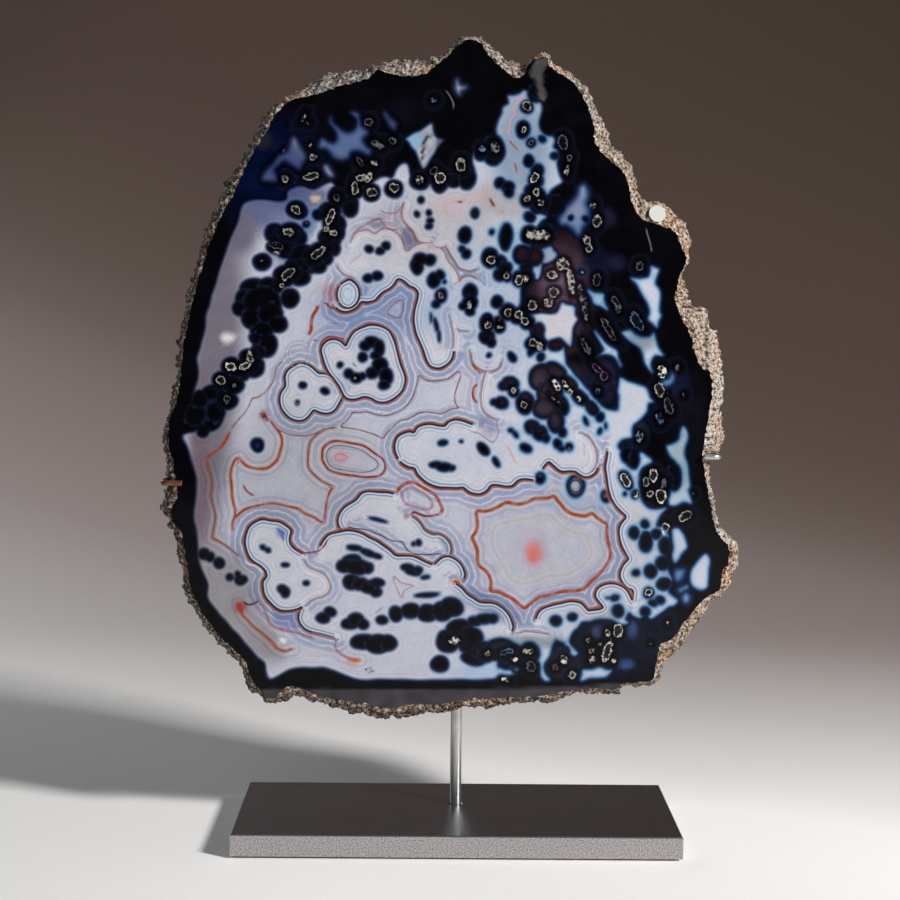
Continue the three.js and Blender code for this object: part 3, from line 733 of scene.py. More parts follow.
# Granular middles of eyes, by kind and colour
CORES = {
    ("ring", "beige"): [
        (285, 179, 3, 3), (313, 157, 3, 3), (311, 176, 7, 3, -8), (362, 178, 5, 3, -15),
        (369, 177, 2, 5, 20), (355, 188, 2.5, 6, 5), (372, 192, 4.5, 4), (394, 188, 4, 4),
        (461, 165, 3.5, 6), (527, 106, 4, 4), (524, 130, 2, 2.5), (536, 192, 2.5, 3.5),
        (527, 199, 2.5, 3), (597, 221, 3, 5.5, 10), (587, 240, 2.5, 4), (589, 249, 3, 3),
        (296, 210, 4.5, 3, 35), (288, 232, 5.5, 3, 15), (318, 253, 8.5, 3.5, -38),
        (288, 274, 7, 3.5, -40), (326, 229, 2, 2), (333, 233, 2.5, 2.5), (250, 357, 2.5, 5, -25),
        (221, 380, 4, 3.5, 15), (441, 296, 2.5, 3), (491, 260, 3.5, 4), (506, 275, 2.5, 3),
        (519, 280, 3.5, 4.5), (552, 275, 4, 3.5), (554, 292, 5, 4), (532, 305, 4, 4.5), (508, 312, 3, 4),
        (519, 315, 3.5, 4), (525, 321, 4, 3.5, 30), (488, 325, 2.5, 3), (500, 327, 2.5, 1.5),
        (533, 343, 3, 3.5), (539, 346, 3, 3), (660, 390, 4, 7, -10), (513, 390, 2, 3), (524, 405, 3, 3.5),
        (646, 482, 3, 4), (650, 494, 2.5, 2.5), (685, 516, 6, 4, -25), (487, 653, 2.5, 2),
        (572, 675, 3, 3),
    ],
    ("ring", "bright"): [
        (440, 178, 4.5, 5), (535, 178, 3, 5, 20), (330, 217, 3, 8, 20), (231, 367, 5.5, 3, 15),
        (245, 366, 6, 2.5, -20), (626, 480, 3.5, 7, -25), (653, 475, 3.5, 6), (661, 496, 4.5, 7, 10),
        (665, 528, 3.5, 5, 15), (649, 593, 3, 3), (618, 631, 4, 6.5, 10), (607.5, 651, 3.5, 10.5, 20),
    ],
    ("ring", "dull"): [
        (368, 122, 4, 3, 20), (337, 198, 2.5, 3), (434, 171, 3.5, 3.5), (393, 141, 3, 2.5),
        (563, 143, 4, 7, -10), (569, 158, 2, 3), (597, 280, 3.5, 6), (640, 266, 3, 4),
        (277, 246, 7, 3, 10), (227, 399, 2.5, 4), (608, 329, 2.5, 13, -32), (586, 347, 2, 8, -30),
        (616, 304, 2.5, 8, -25), (668, 405, 3, 9, -20), (531, 667, 4, 4.5), (531, 143, 2, 2),
    ],
    ("ring", "purple"): [
        (359.5, 161, 2, 4.5, -35), (604, 376, 3, 3.5), (597, 368, 2, 7, -40), (555, 667, 2.5, 2.5),
    ],
    ("ring", "blue"): [(637, 322, 4, 10, -30), (507, 652, 6, 2, -15)],
    ("solid", "beige"): [
        (303, 118, 1, 4, 30), (308, 123, 2, 1.5), (310, 145, 1.8, 1.8), (374, 163, 3.5, 2.5, 25),
        (420, 180, 4, 4), (541, 203, 3, 3), (567, 170, 2, 5, 10), (593, 205.5, 2.8, 3.3),
        (582, 272, 1.5, 1.5), (276, 253, 3, 2), (281, 285, 2.5, 2.5), (355, 378, 2, 2),
        (469, 305, 2.5, 4.5, 15), (538, 235, 12, 5.5), (563, 264, 6, 6), (571, 282, 3, 13, -8),
        (548, 303, 4.5, 4.5), (500, 320, 1.5, 1.5), (667, 393, 1.2, 1.8), (570, 392, 2, 4),
        (588, 641, 2.5, 2.5), (600, 644, 1.5, 1.5), (592, 651, 3, 2.5), (592, 660, 3, 4, 15),
        (668, 624, 1.2, 2.5), (651, 643, 1.5, 2),
    ],
    ("solid", "bright"): [
        (526, 279, 2.5, 3.5), (662, 372, 4, 6.5, -15), (556, 385, 2.5, 6, -30), (565, 384, 2, 5, -30),
        (579, 398, 2, 3.5, -45), (555, 400, 0.8, 6, -45), (635, 494, 2.5, 3), (454, 641, 5, 3.5, -20),
        (515, 659, 2.5, 1.5), (528, 651, 5, 2.5, 5), (506, 679, 3.5, 2), (564, 660, 3.5, 4),
        (607, 633, 2.5, 3), (613, 661, 2.5, 2.5), (527, 106, 2, 2.5),
    ],
    ("solid", "dull"): [
        (284, 150, 1.5, 1.5), (377, 144, 7, 3, 30), (261, 261, 1.5, 1.5), (234, 386, 2.5, 2.5),
        (678, 368, 2, 3.5, -20), (684, 395, 1.5, 2.5), (664, 484, 2.5, 5), (371, 670, 5, 3.5),
        (430, 218, 1, 1),
    ],
    ("solid", "slate"): [(639, 437, 3.5, 5), (495, 147, 4, 6, -15), (583, 302, 3, 18, -12)],
    ("solid", "blue"): [
        (482, 149, 3, 2.5), (660, 419, 3.5, 6, -15), (598, 391, 2.5, 3.5), (434, 100, 3, 3),
    ],
    ("solid", "brown"): [
        (693, 494, 1.5, 1.5), (297, 403, 1.4, 1.8), (306, 224, 1.5, 1.5), (569, 449, 2.5, 2),
    ],
}

# Outlines of banded pockets, which lie on the right as drawn: layer, strength, redness, closed, points
BANDS = [
    (0, 1.0, 0.8, False, [
        (454, 350), (452, 357), (448, 363), (442, 367), (437, 368), (431, 366), (427, 360), (424, 352),
        (420, 342), (416, 332), (414, 321), (415, 311), (417, 301), (418, 293), (415, 288), (410, 286),
        (405, 282), (401, 279), (397, 279), (394, 283), (390, 288), (383, 292), (378, 296), (374, 300),
        (367, 302), (361, 302), (357, 307), (351, 311), (345, 312), (339, 310), (335, 306),
    ]),
    (1, 0.4, 0.9, False, [(454, 350), (455, 342), (454, 330), (453, 318)]),
    (1, 0.85, 0.8, True, [
        (334, 378), (329, 372), (325, 364), (322, 356), (321, 350), (323, 345), (328, 341), (335, 340),
        (341, 342), (346, 346), (349, 340), (354, 333), (361, 328), (368, 325.5), (376, 326), (383, 328),
        (389, 332), (393, 339), (396, 347), (398, 356), (400, 364), (403, 371), (405, 378), (404, 385),
        (401, 392), (395, 398), (386, 402), (378, 401.5), (371, 398), (364, 397), (356, 399), (348, 398),
        (343, 393), (337, 383),
    ]),
    (0, 0.75, 0.4, True, [
        (280, 401), (281, 393), (285, 386), (285, 378), (288, 371), (294, 366), (301, 363), (308, 365),
        (314, 370), (319, 374), (325, 374), (332, 377), (338, 382), (342, 388), (343, 395), (340, 402),
        (335, 409), (328, 413), (321, 413), (314, 410), (311, 413), (306, 418), (300, 420.5),
        (293, 419.5), (287, 416), (282, 409),
    ]),
    (1, 0.4, 0.9, False, [
        (352, 242), (356, 235), (362, 232), (368, 231), (373, 234), (377, 234), (382, 231), (388, 230.5),
        (394, 233), (399, 237), (402, 243), (403, 249), (405, 252), (409, 252), (413, 249), (418, 246),
        (424, 244), (430, 244), (434, 247), (439, 249), (443, 253), (445, 258), (448, 263), (453, 269),
        (457, 275), (458, 283),
    ]),
    (1, 0.4, 0.9, False, [(355, 278), (352, 276), (346, 274), (341, 270), (338, 264)]),
    (0, 0.5, 0.5, False, [(477, 267), (470, 270), (461, 268), (456, 262), (451, 254), (447, 246)]),
    (0, 0.5, 0.5, False, [(457, 284), (462, 279), (470, 277), (478, 281)]),
    (1, 0.4, 0.2, False, [(468, 330), (461, 329), (456, 327), (453, 322), (451, 315)]),
    (0, 0.45, 1.0, False, [
        (446, 245), (440, 247), (433, 246), (427, 243), (420, 241), (417, 237), (414, 231), (409, 226),
        (404, 219), (403, 211), (405, 204),
    ]),
    (0, 0.8, 1.0, False, [
        (399, 460), (396, 453), (395, 445), (397, 438), (402, 434), (409, 432), (414, 433), (417, 428),
        (423, 425), (430, 424.5), (438, 426), (445, 426), (449, 422), (455, 420), (462, 421), (468, 423),
        (474, 425),
    ]),
    (0, 0.8, 1.0, False, [
        (598, 466), (596, 471), (591, 475), (585, 477), (579, 474), (576, 472), (570, 471), (563, 471),
        (558, 469), (553, 465), (549, 462), (545, 465), (541, 470),
    ]),
    (0, 0.8, 1.0, False, [
        (535, 480), (530, 479), (523, 479), (517, 481), (512, 485), (505, 486), (498, 485), (491, 485),
        (487, 490), (480, 494), (472, 493), (467, 490), (463, 487), (457, 487.5), (448, 487.5),
        (439, 487), (431, 484), (424, 480), (418, 474), (415, 468), (409, 467), (403, 464), (399, 460),
    ]),
    (1, 0.45, 1.0, False, [
        (580, 434), (587, 438), (592, 444), (595, 452), (596, 460), (594, 467), (589, 471),
    ]),
    (1, 0.4, 0.9, False, [
        (498, 418), (490, 415), (485, 409), (482, 402), (482, 394), (484, 386), (485, 378), (488, 370),
    ]),
    (0, 0.5, 0.6, False, [
        (500, 360), (499, 366), (494, 370), (486, 371), (478, 367), (473, 360), (471, 350),
    ]),
    (0, 0.85, 0.7, False, [
        (344, 531), (340, 527), (338, 520), (340, 513), (344, 508), (350, 504), (356, 500), (362, 494),
        (370, 491.5), (379, 492), (388, 493), (395, 495),
    ]),
    (0, 0.6, 0.9, False, [
        (410, 516), (416, 519), (420, 524), (423, 529), (427, 532), (433, 535), (438, 535), (443, 537),
        (447, 541), (450, 546), (451, 551), (449, 556),
    ]),
    (1, 0.7, 0.9, False, [
        (320, 548), (323, 541), (328, 536), (335, 533), (344, 531), (353, 531.5), (362, 534), (370, 538),
        (378, 542), (385, 547), (391, 552), (396, 555.5), (404, 556), (413, 557), (421, 560), (428, 563),
        (434, 566),
    ]),
    (1, 1.0, 0.4, False, [
        (434, 566), (437, 562), (442, 558.5), (448, 557), (454, 558.5), (459, 563), (463, 569),
        (465, 575), (463, 580),
    ]),
    (0, 1.0, 0.3, False, [
        (455, 583), (460, 587), (466, 593), (472, 597.5), (478, 602), (484, 603), (491, 603), (497, 605),
        (504, 610), (509, 616), (512, 623), (513, 628), (511, 632),
    ]),
    (1, 0.4, 0.4, False, [(518, 635), (525, 633), (533, 633), (541, 634), (548, 636)]),
    (1, 1.0, 0.8, False, [
        (536, 620), (538, 614), (541, 610), (546, 607), (554, 605), (562, 604), (569, 602), (575, 601.5),
        (581, 603), (585, 608), (588, 611), (594, 610), (600, 609), (603, 607), (599, 602), (596, 596),
        (598, 589), (604, 585), (611, 584), (618, 585), (624, 588), (628, 593), (632, 600), (634, 601),
    ]),
    (0, 1.0, 0.8, False, [
        (633, 601), (633, 590), (627, 587), (622, 580), (620.5, 573), (623, 565), (629, 559), (627, 555),
        (623, 548), (620, 540), (619, 532), (621, 524), (626, 517), (621, 511), (616, 506), (612, 499),
        (610, 492), (608, 485), (606.5, 477), (606, 468), (607, 460), (608, 450),
    ]),
    (1, 1.0, 0.9, False, [
        (303, 606), (297, 609), (290, 610.5), (282, 610), (275, 607), (270, 602), (265, 595), (263, 588),
        (263, 582), (267, 577), (266, 571), (261, 566), (255, 562), (249, 556), (246, 549), (245.5, 541),
        (247, 532), (250, 526), (256, 522), (263, 520), (271, 521), (279, 522), (286, 526), (290.5, 531),
        (289, 537), (289.5, 542), (293, 547), (297, 551), (303, 555),
    ]),
    (0, 0.4, 0.9, False, [
        (303, 561), (308, 568), (316, 572), (323, 575), (328, 581), (329, 588), (325, 594), (318, 596),
        (311, 599), (305, 604),
    ]),
    (0, 0.7, 0.3, False, [
        (336, 638), (329, 636), (321, 634), (313, 632), (306, 629), (301, 624), (299, 618), (300, 611),
        (303, 606),
    ]),
    (1, 0.8, 0.1, True, [
        (348, 280), (353, 282), (358, 287), (359, 294), (357, 302), (352, 307), (347, 308), (341, 305),
        (338, 298), (338, 290), (341, 284),
    ]),
]

# Single grown lines: layer, half width, strength, colour, closed, points
LINES = [
    (0, 0.9, 0.8, "brown", False, [
        (283, 360), (277, 367), (275, 375), (272, 383), (266, 391), (258, 397), (252, 399), (249, 406),
        (245, 413), (240, 418), (235, 424), (230, 430),
    ]),
    (0, 1.75, 1.0, "orange", False, [
        (230, 430), (227, 437), (224, 443), (219, 449), (213, 454), (208, 457), (207, 463),
    ]),
    (0, 1.1, 0.9, "brown", False, [
        (207, 463), (209, 470), (212, 478), (212, 487), (211, 495), (213, 505), (215, 514), (215, 522),
        (213, 533), (212, 538), (218, 541), (225, 545), (231, 549), (236, 553), (239, 558),
    ]),
    (0, 1.1, 0.6, "white", False, [(244, 561), (250, 564), (256, 566), (261, 570), (264, 574)]),
    (0, 1.3, 1.0, "orange", False, [
        (240, 459), (246, 465), (253, 468), (260, 469), (267, 468), (273, 464), (278, 458), (281, 450),
        (282, 442), (280, 434), (277, 429), (270, 420),
    ]),
    (0, 1.3, 1.0, "orange", False, [
        (240, 458), (236, 459), (233, 464), (231, 472), (231, 482), (232, 492), (233, 502), (235, 510),
        (235, 517), (233, 523), (232, 532),
    ]),
    (1, 1.3, 1.0, "orange", False, [
        (235, 519), (238, 515), (244, 510), (251, 507), (258, 505), (266, 504), (275, 504), (283, 505),
        (291, 507), (298, 509), (305, 513), (312, 516), (318, 520), (322, 522), (325, 521),
    ]),
    (0, 1.3, 1.0, "orange", False, [
        (325, 521), (325, 514), (326, 506), (328, 498), (330, 491), (334, 487),
    ]),
    (1, 1.2, 0.9, "red", False, [(243, 484), (246, 490), (250, 494), (255, 496)]),
    (1, 0.9, 0.8, "brown", False, [
        (277, 429), (283, 432), (290, 435), (298, 436), (306, 436), (313, 434), (320, 431), (326, 428),
    ]),
    (0, 1.1, 0.9, "brown", False, [
        (337, 427), (330, 428), (323, 431), (316, 435), (311, 441), (308, 450), (308, 460), (309, 468),
        (314, 475), (320, 480), (327, 484), (334, 487),
    ]),
    (1, 1.1, 1.0, "red", True, [
        (322, 455), (323, 449), (327, 444), (334, 441.5), (343, 441.5), (352, 443), (361, 445),
        (369, 449), (376, 454), (382, 459), (385, 464), (385, 470), (381, 475), (374, 477), (365, 477),
        (356, 476), (347, 475), (338, 473), (330, 470), (325, 465), (322, 460),
    ]),
    (0, 0.6, 0.8, "navy", True, [
        (326, 456), (328, 450), (333, 446.5), (341, 445.5), (350, 446.5), (358, 449), (366, 453),
        (372, 457), (377, 462), (378, 466), (374, 470), (366, 472), (357, 472), (347, 471), (338, 469),
        (331, 466), (327, 461),
    ]),
    (1, 0.6, 0.7, "mauve", True, [(335, 457), (338, 454), (343, 454), (347, 457), (344, 460), (338, 460)]),
    (1, 0.75, 0.9, "brown", True, [
        (341, 426), (346, 422), (351, 416), (353, 413), (360, 412.5), (368, 411.5), (374, 414),
        (381, 415.5), (388, 415), (395, 413), (402, 409), (408, 404), (412, 398), (415, 391), (417, 384),
        (419, 375), (425, 379), (432, 381), (440, 381), (447, 379), (453, 375), (459, 372), (461, 376),
        (458, 383), (456, 390), (455, 397), (456, 404), (458, 408), (451, 409), (445, 412), (440, 414),
        (432, 413), (425, 412), (418, 413), (412, 417), (407, 420), (401, 421), (396, 424), (391, 429),
        (387, 433), (383, 438), (380, 437), (374, 434), (368, 432), (360, 430), (352, 429), (343, 427.5),
    ]),
    (1, 1.75, 1.0, "orange", True, [
        (477, 511), (484, 511), (491, 510), (498, 507), (505, 503), (512, 503), (520, 504), (528, 502),
        (534, 499), (541, 498.5), (548, 498), (554, 496), (557, 500), (561, 505), (566, 510), (572, 514),
        (579, 516), (586, 516), (592, 513), (597, 517), (603, 522), (607, 525), (607, 532), (608, 540),
        (610, 548), (610, 556), (607, 564), (603, 570), (597, 576), (591, 581), (586, 587), (580, 590),
        (571, 591), (561, 592), (550, 595), (541, 597), (534, 601), (529, 605), (524, 608), (520, 604),
        (514, 600), (506, 596), (498, 592), (491, 590), (491, 583), (489, 576), (485, 570), (479, 565),
        (477, 558), (477, 550), (475, 543), (472, 538), (475, 533), (477, 526), (477, 518),
    ]),
    (0, 2.2, 0.26, "olive", True, [
        (494, 528), (505, 522), (520, 520), (536, 516), (549, 515), (560, 524), (573, 532), (585, 535),
        (590, 545), (591, 555), (584, 564), (574, 572), (560, 575), (545, 577), (532, 582), (522, 584),
        (510, 577), (502, 564), (494, 550), (492, 538),
    ]),
    (0, 1.2, 0.14, "olive", True, [
        (508, 538), (520, 530), (536, 526), (552, 530), (564, 540), (572, 550), (566, 562), (552, 567),
        (538, 571), (524, 571), (513, 562), (508, 550),
    ]),
    (0, 1.7, 1.0, "orange", False, [
        (396, 494), (398, 489), (402, 485), (408, 483), (414, 483), (420, 486), (426, 489), (432, 492),
        (437, 497), (440, 503), (442, 509), (440, 514),
    ]),
    (0, 1.3, 1.0, "red", False, [
        (440, 514), (434, 516), (427, 516), (420, 514), (414, 512), (411, 515),
    ]),
    (1, 1.4, 0.7, "mauve", True, [
        (402, 492), (407, 488.5), (413, 488), (419, 491), (425, 494), (430, 499), (432, 505), (429, 509),
        (422, 509), (414, 507), (408, 505), (404, 500), (402, 496),
    ]),
    (0, 0.7, 0.9, "navy", False, [
        (347, 527), (354, 528.5), (362, 529), (369, 530), (375, 533), (382, 536), (389, 540), (396, 541),
        (402, 541.5), (405, 546), (409, 551), (416, 554), (425, 554.5), (434, 554), (443, 554),
    ]),
    (0, 1.1, 0.9, "orange", False, [
        (238, 604), (240, 609), (243, 615), (247, 619), (251, 624), (256, 629), (261, 633), (266, 637),
        (271, 642), (275, 647), (280, 650), (286, 651), (291, 649), (294, 649),
    ]),
    (0, 1.5, 0.85, "mauve", False, [
        (258, 602), (263, 606), (265, 612), (267, 618), (270, 623), (276, 627), (284, 630), (292, 632),
        (300, 634), (307, 636), (314, 638),
    ]),
    (1, 1.0, 0.95, "black", False, [(243, 602), (248, 605), (254, 603), (259, 600)]),
    (0, 1.75, 1.0, "orange", False, [
        (318, 304), (317, 310), (313, 316), (311, 323), (311, 330), (308, 336),
    ]),
    (1, 1.25, 1.0, "orange", False, [(323, 302), (327, 305), (332, 308), (336, 306)]),
    (0, 1.1, 0.9, "red", False, [(319, 347), (322, 341), (328, 337), (336, 337), (342, 338), (345, 341)]),
    (1, 1.0, 0.8, "red", False, [(312, 340), (319, 340)]),
    (0, 1.1, 0.9, "red", False, [(296, 548), (303, 553), (312, 552), (320, 550), (325, 545), (327, 539)]),
    (1, 1.3, 1.0, "orange", False, [(479, 384), (474, 388), (473, 394), (474, 400), (478, 404)]),
    (1, 1.3, 1.0, "orange", False, [(472, 362), (476, 369), (482, 374)]),
    (0, 1.25, 0.8, "pink", False, [
        (524, 94), (520, 98), (516, 103), (514, 109), (515, 114), (511, 120), (509, 127), (507, 134),
    ]),
    (0, 1.2, 0.8, "orange", False, [(509, 140), (513, 145), (519, 150)]),
    (0, 1.0, 0.8, "orange", False, [(515, 162), (516, 168), (517, 174)]),
    (1, 1.5, 0.95, "brown", False, [(489, 197), (492, 202), (495, 208)]),
    (1, 1.2, 0.95, "brown", False, [(456, 201), (460, 202), (463, 201)]),
    (0, 0.8, 0.9, "black", False, [(490, 200), (492.5, 203.5), (494, 206)]),
    (1, 0.8, 0.8, "brown", False, [(502, 211), (505, 210)]),
    (1, 0.8, 0.6, "grey", False, [(472, 270), (478, 276), (483, 282), (486, 288)]),
    (1, 0.8, 0.6, "tan", False, [(330, 279), (324, 284), (317, 289), (311, 294), (309, 300), (311, 307)]),
    (0, 0.8, 0.7, "brown", True, [(387, 311), (402, 299.5), (402, 315), (397, 318)]),
    (1, 1.4, 0.8, "brown", False, [(395.5, 310), (396.5, 310.5)]),
    (1, 0.7, 0.9, "black", False, [(332, 323), (337, 323.5)]),
    (0, 0.7, 0.8, "black", False, [(352, 362), (357, 367)]),
    (0, 0.8, 0.8, "grey", False, [(374, 614), (384, 606)]),
    (0, 0.8, 0.5, "grey", False, [(646, 228), (648, 236), (650, 244), (652, 252)]),
    (0, 0.8, 0.5, "grey", False, [(446, 91), (450, 96), (453, 103), (453, 109)]),
    (0, 1.4, 0.5, "tan", False, [(444, 217), (445, 211), (444, 205), (451, 202), (459, 200), (469, 199)]),
    (0, 1.8, 0.42, "tan", False, [(469, 199), (478, 197), (486, 194), (487, 186), (488, 177)]),
    (0, 0.7, 0.7, "brown", False, [(456, 201), (462, 201)]),
    (1, 1.2, 0.8, "mauve", False, [
        (310, 632), (320, 635), (330, 637), (336, 640), (335, 646), (338, 652), (345, 656), (353, 660),
        (360, 660),
    ]),
    (1, 0.8, 0.7, "mauve", True, [(393, 576), (402, 583), (413, 586), (404, 590), (401, 598)]),
    (0, 0.8, 0.5, "tan", False, [(305, 655), (318, 656), (330, 655)]),
    (0, 1.0, 0.7, "pink", False, [(349, 263), (357, 258), (364, 252)]),
    (1, 0.8, 0.8, "grey", False, [
        (498, 418), (497, 426), (498, 434), (493, 442), (485, 437), (478, 433), (470, 432),
    ]),
    (1, 0.8, 0.75, "brown", False, [
        (353, 235), (358, 229), (364, 226), (370, 222), (376, 219.5), (380, 219), (383, 224), (387, 228),
        (393, 229.5), (399, 228),
    ]),
    (0, 0.7, 0.6, "navy", True, [
        (575, 476), (581, 479), (584, 486), (581, 493), (575, 496), (569, 493), (566, 486), (569, 479),
    ]),
    (0, 0.9, 0.6, "pink", True, [
        (394, 212), (400, 215), (402, 221), (398, 227), (391, 227), (386, 221), (388, 215),
    ]),
    (1, 0.9, 0.7, "brown", False, [(380, 210), (385, 213), (391, 213), (397, 212), (401, 207), (405, 203)]),
    (0, 0.7, 0.6, "grey", True, [
        (298, 345), (305, 347), (308, 354), (305, 361), (298, 363), (291, 361), (288, 354), (291, 347),
    ]),
    (1, 0.7, 0.45, "grey", True, [
        (298, 341), (307, 344), (311, 354), (307, 364), (298, 367), (289, 364), (285, 354), (289, 344),
    ]),
    (0, 0.8, 0.6, "pink", True, [
        (333, 283), (341, 286), (343, 294), (339, 302), (331, 303), (324, 299), (323, 290),
    ]),
    (1, 0.7, 0.9, "black", True, [(575, 480), (580, 483), (580, 490), (575, 492), (570, 489), (570, 483)]),
    (1, 1.0, 0.7, "pink", False, [(507, 445), (512, 455), (517, 465)]),
    (0, 1.0, 0.7, "pink", False, [(584, 443), (584, 457)]),
]


def camera_axes():
    """Right, up and forward directions of the camera."""
    forward = np.array(
        (math.cos(PITCH) * math.sin(YAW), math.cos(PITCH) * math.cos(YAW), -math.sin(PITCH))
    )
    level_right = np.array((math.cos(YAW), -math.sin(YAW), 0.0))
    level_up = np.array((math.sin(PITCH) * math.sin(YAW), math.sin(PITCH) * math.cos(YAW), math.cos(PITCH)))
    right = math.cos(ROLL) * level_right + math.sin(ROLL) * level_up
    up = math.cos(ROLL) * level_up - math.sin(ROLL) * level_right
    return right, up, forward


RIGHT, UP, FORWARD = camera_axes()


def place_camera():
    """Makes the camera of the photograph."""
    data = bpy.data.cameras.new("camera")
    data.sensor_width = SENSOR
    data.lens = SENSOR * FOCAL / PICTURE
    data.clip_start = NEAREST
    data.clip_end = FARTHEST
    camera = bpy.data.objects.new("camera", data)
    axes = np.stack((RIGHT, UP, -FORWARD), axis=1)
    turn = Matrix([list(row) for row in axes]).to_4x4()
    camera.matrix_world = Matrix.Translation(Vector(EYE * MM)) @ turn
    bpy.context.scene.collection.objects.link(camera)
    bpy.context.scene.camera = camera


def to_picture(points):
    """Points in mm to picture points."""
    seen = points - EYE
    depth = seen @ FORWARD
    across = seen @ RIGHT / depth
    height = seen @ UP / depth
    return np.stack((PICTURE / 2 + FOCAL * across, PICTURE / 2 - FOCAL * height), axis=1)


def on_plane(picture, plane_y):
    """Picture points to points in mm on the plane with that y."""
    across = (picture[:, :1] - PICTURE / 2) / FOCAL
    down = (picture[:, 1:] - PICTURE / 2) / FOCAL
    rays = FORWARD + across * RIGHT - down * UP
    return EYE + rays * ((plane_y - EYE[1]) / rays[:, 1:2])


def spline(before, start, end, after, t):
    """The point of a smooth curve at the share t of the way from start to end."""
    return (
        start
        + 0.5 * t * (end - before)
        + t * t * (before - 2.5 * start + 2 * end - 0.5 * after)
        + t * t * t * (1.5 * (start - end) + 0.5 * (after - before))
    )


def curved(points, closed=True, steps=3):
    """A smooth line through points."""
    points = np.array(points, float)
    if closed:
        padded = np.concatenate((points[-1:], points, points[:2]))
    else:
        first = 2 * points[0] - points[1]
        last = 2 * points[-1] - points[-2]
        padded = np.concatenate((first[None], points, last[None]))
    before, start, end, after = padded[:-3], padded[1:-2], padded[2:-1], padded[3:]
    parts = [spline(before, start, end, after, step / steps) for step in range(steps)]
    line = np.stack(parts, axis=1).reshape(-1, points.shape[1])
    return line if closed else np.concatenate((line, points[-1:]))


def nearest_on_line(at, line, closed, reach):
    """Points' distances to a line, sides of it (1 on its right as drawn), ways along it; and its length."""
    gap = np.full(len(at), reach)
    side = np.ones(len(at))
    along = np.zeros(len(at))
    ends = np.roll(line, -1, axis=0) if closed else line[1:]
    passed = 0.0
    for a, b in zip(line, ends):
        low = np.minimum(a, b) - reach
        high = np.maximum(a, b) + reach
        near = np.flatnonzero(
            (at[:, 0] > low[0]) & (at[:, 0] < high[0]) & (at[:, 1] > low[1]) & (at[:, 1] < high[1])
        )
        length = float(np.hypot(*(b - a)))
        if length < 1e-6 or not len(near):
            passed += length
            continue
        heading = (b - a) / length
        offset = at[near] - a
        travel = np.clip(offset @ heading, 0, length)
        away = offset - travel[:, None] * heading
        size = np.hypot(away[:, 0], away[:, 1])
        closer = size < gap[near]
        chosen = near[closer]
        gap[chosen] = size[closer]
        turned = heading[0] * away[:, 1] - heading[1] * away[:, 0]
        side[chosen] = np.where(turned[closer] >= 0, 1.0, -1.0)
        along[chosen] = passed + travel[closer]
        passed += length
    return gap, side, along, passed


def take_nearer(best, at, points, closed, reach):
    """Lowers the best distances where a line is nearer. Gives those points and the line's values there."""
    gap, side, along, total = nearest_on_line(at, curved(points, closed), closed, reach)
    chosen = np.flatnonzero(gap < np.minimum(best, reach))
    best[chosen] = gap[chosen]
    fade = np.ones(len(at)) if closed else np.clip(np.minimum(along, total - along) / END_FADE, 0, 1)
    return chosen, gap[chosen], side[chosen], fade[chosen]


def inside(at, line):
    """Whether points are inside a closed line."""
    found = np.zeros(len(at), bool)
    for a, b in zip(line, np.roll(line, -1, axis=0)):
        spans = (at[:, 1] < a[1]) != (at[:, 1] < b[1])
        if not spans.any():
            continue
        crossing = a[0] + (at[spans, 1] - a[1]) * (b[0] - a[0]) / (b[1] - a[1])
        found[np.flatnonzero(spans)[at[spans, 0] < crossing]] ^= True
    return found


def shape_depth(at, points, reach=REACH):
    """How far inside a closed shape points are, negative outside."""
    line = curved(points)
    gap = nearest_on_line(at, line, True, reach)[0]
    return np.where(inside(at, line), gap, -gap)


def ellipse_offset(at, ellipse):
    """Offsets from an ellipse's middle along its two radii. An ellipse is x, y, two radii and a turn."""
    x, y = ellipse[:2]
    turn = math.radians(ellipse[4] if len(ellipse) > 4 else 0)
    across = (at[:, 0] - x) * math.cos(turn) + (at[:, 1] - y) * math.sin(turn)
    down = (at[:, 1] - y) * math.cos(turn) - (at[:, 0] - x) * math.sin(turn)
    return across, down


def ellipse_level(at, ellipse):
    """Zero at an ellipse's middle and one on its edge."""
    across, down = ellipse_offset(at, ellipse)
    return np.hypot(across / ellipse[2], down / ellipse[3])


def ellipse_depth(at, ellipse):
    """How far inside an ellipse points are, negative outside."""
    across, down = ellipse_offset(at, ellipse)
    wide, tall = ellipse[2:4]
    level = np.hypot(across / wide, down / tall)
    steepness = np.hypot(across / wide**2, down / tall**2) + 1e-9
    return np.minimum((1 - level) * level / steepness, min(wide, tall))


def near_ellipse(at, ellipse, margin):
    """Indexes of points near an ellipse."""
    size = max(ellipse[2], ellipse[3]) + margin
    return np.flatnonzero((abs(at[:, 0] - ellipse[0]) < size) & (abs(at[:, 1] - ellipse[1]) < size))


def wavered(at, size):
    """Points moved a little, so that drawn shapes look grown."""
    x, y = at[:, 0], at[:, 1]
    shift_x = np.sin(y / 4.1 + 1.7 * np.sin(x / 9.3)) + 0.6 * np.sin(x / 2.9 + y / 6.1)
    shift_y = np.sin(x / 4.6 + 1.9 * np.sin(y / 8.1)) + 0.6 * np.sin(y / 3.1 - x / 5.7)
    return at + size * np.stack((shift_x, shift_y), axis=1)


def light_depth(at):
    """How far inside the light ground points are, negative in the dark."""
    depth = np.full(len(at), -REACH)
    for shape in LIGHT_SHAPES:
        depth = np.maximum(depth, shape_depth(at, shape))
    for shape in SOFT_WINDOWS:
        found = shape_depth(at, shape)
        depth = np.maximum(depth, np.where(found > -WINDOW_REACH, WINDOW_SLOPE * found, -REACH))
    for eye in EYES:
        near = near_ellipse(at, eye, REACH)
        depth[near] = np.minimum(depth[near], -ellipse_depth(at[near], eye))
    return depth


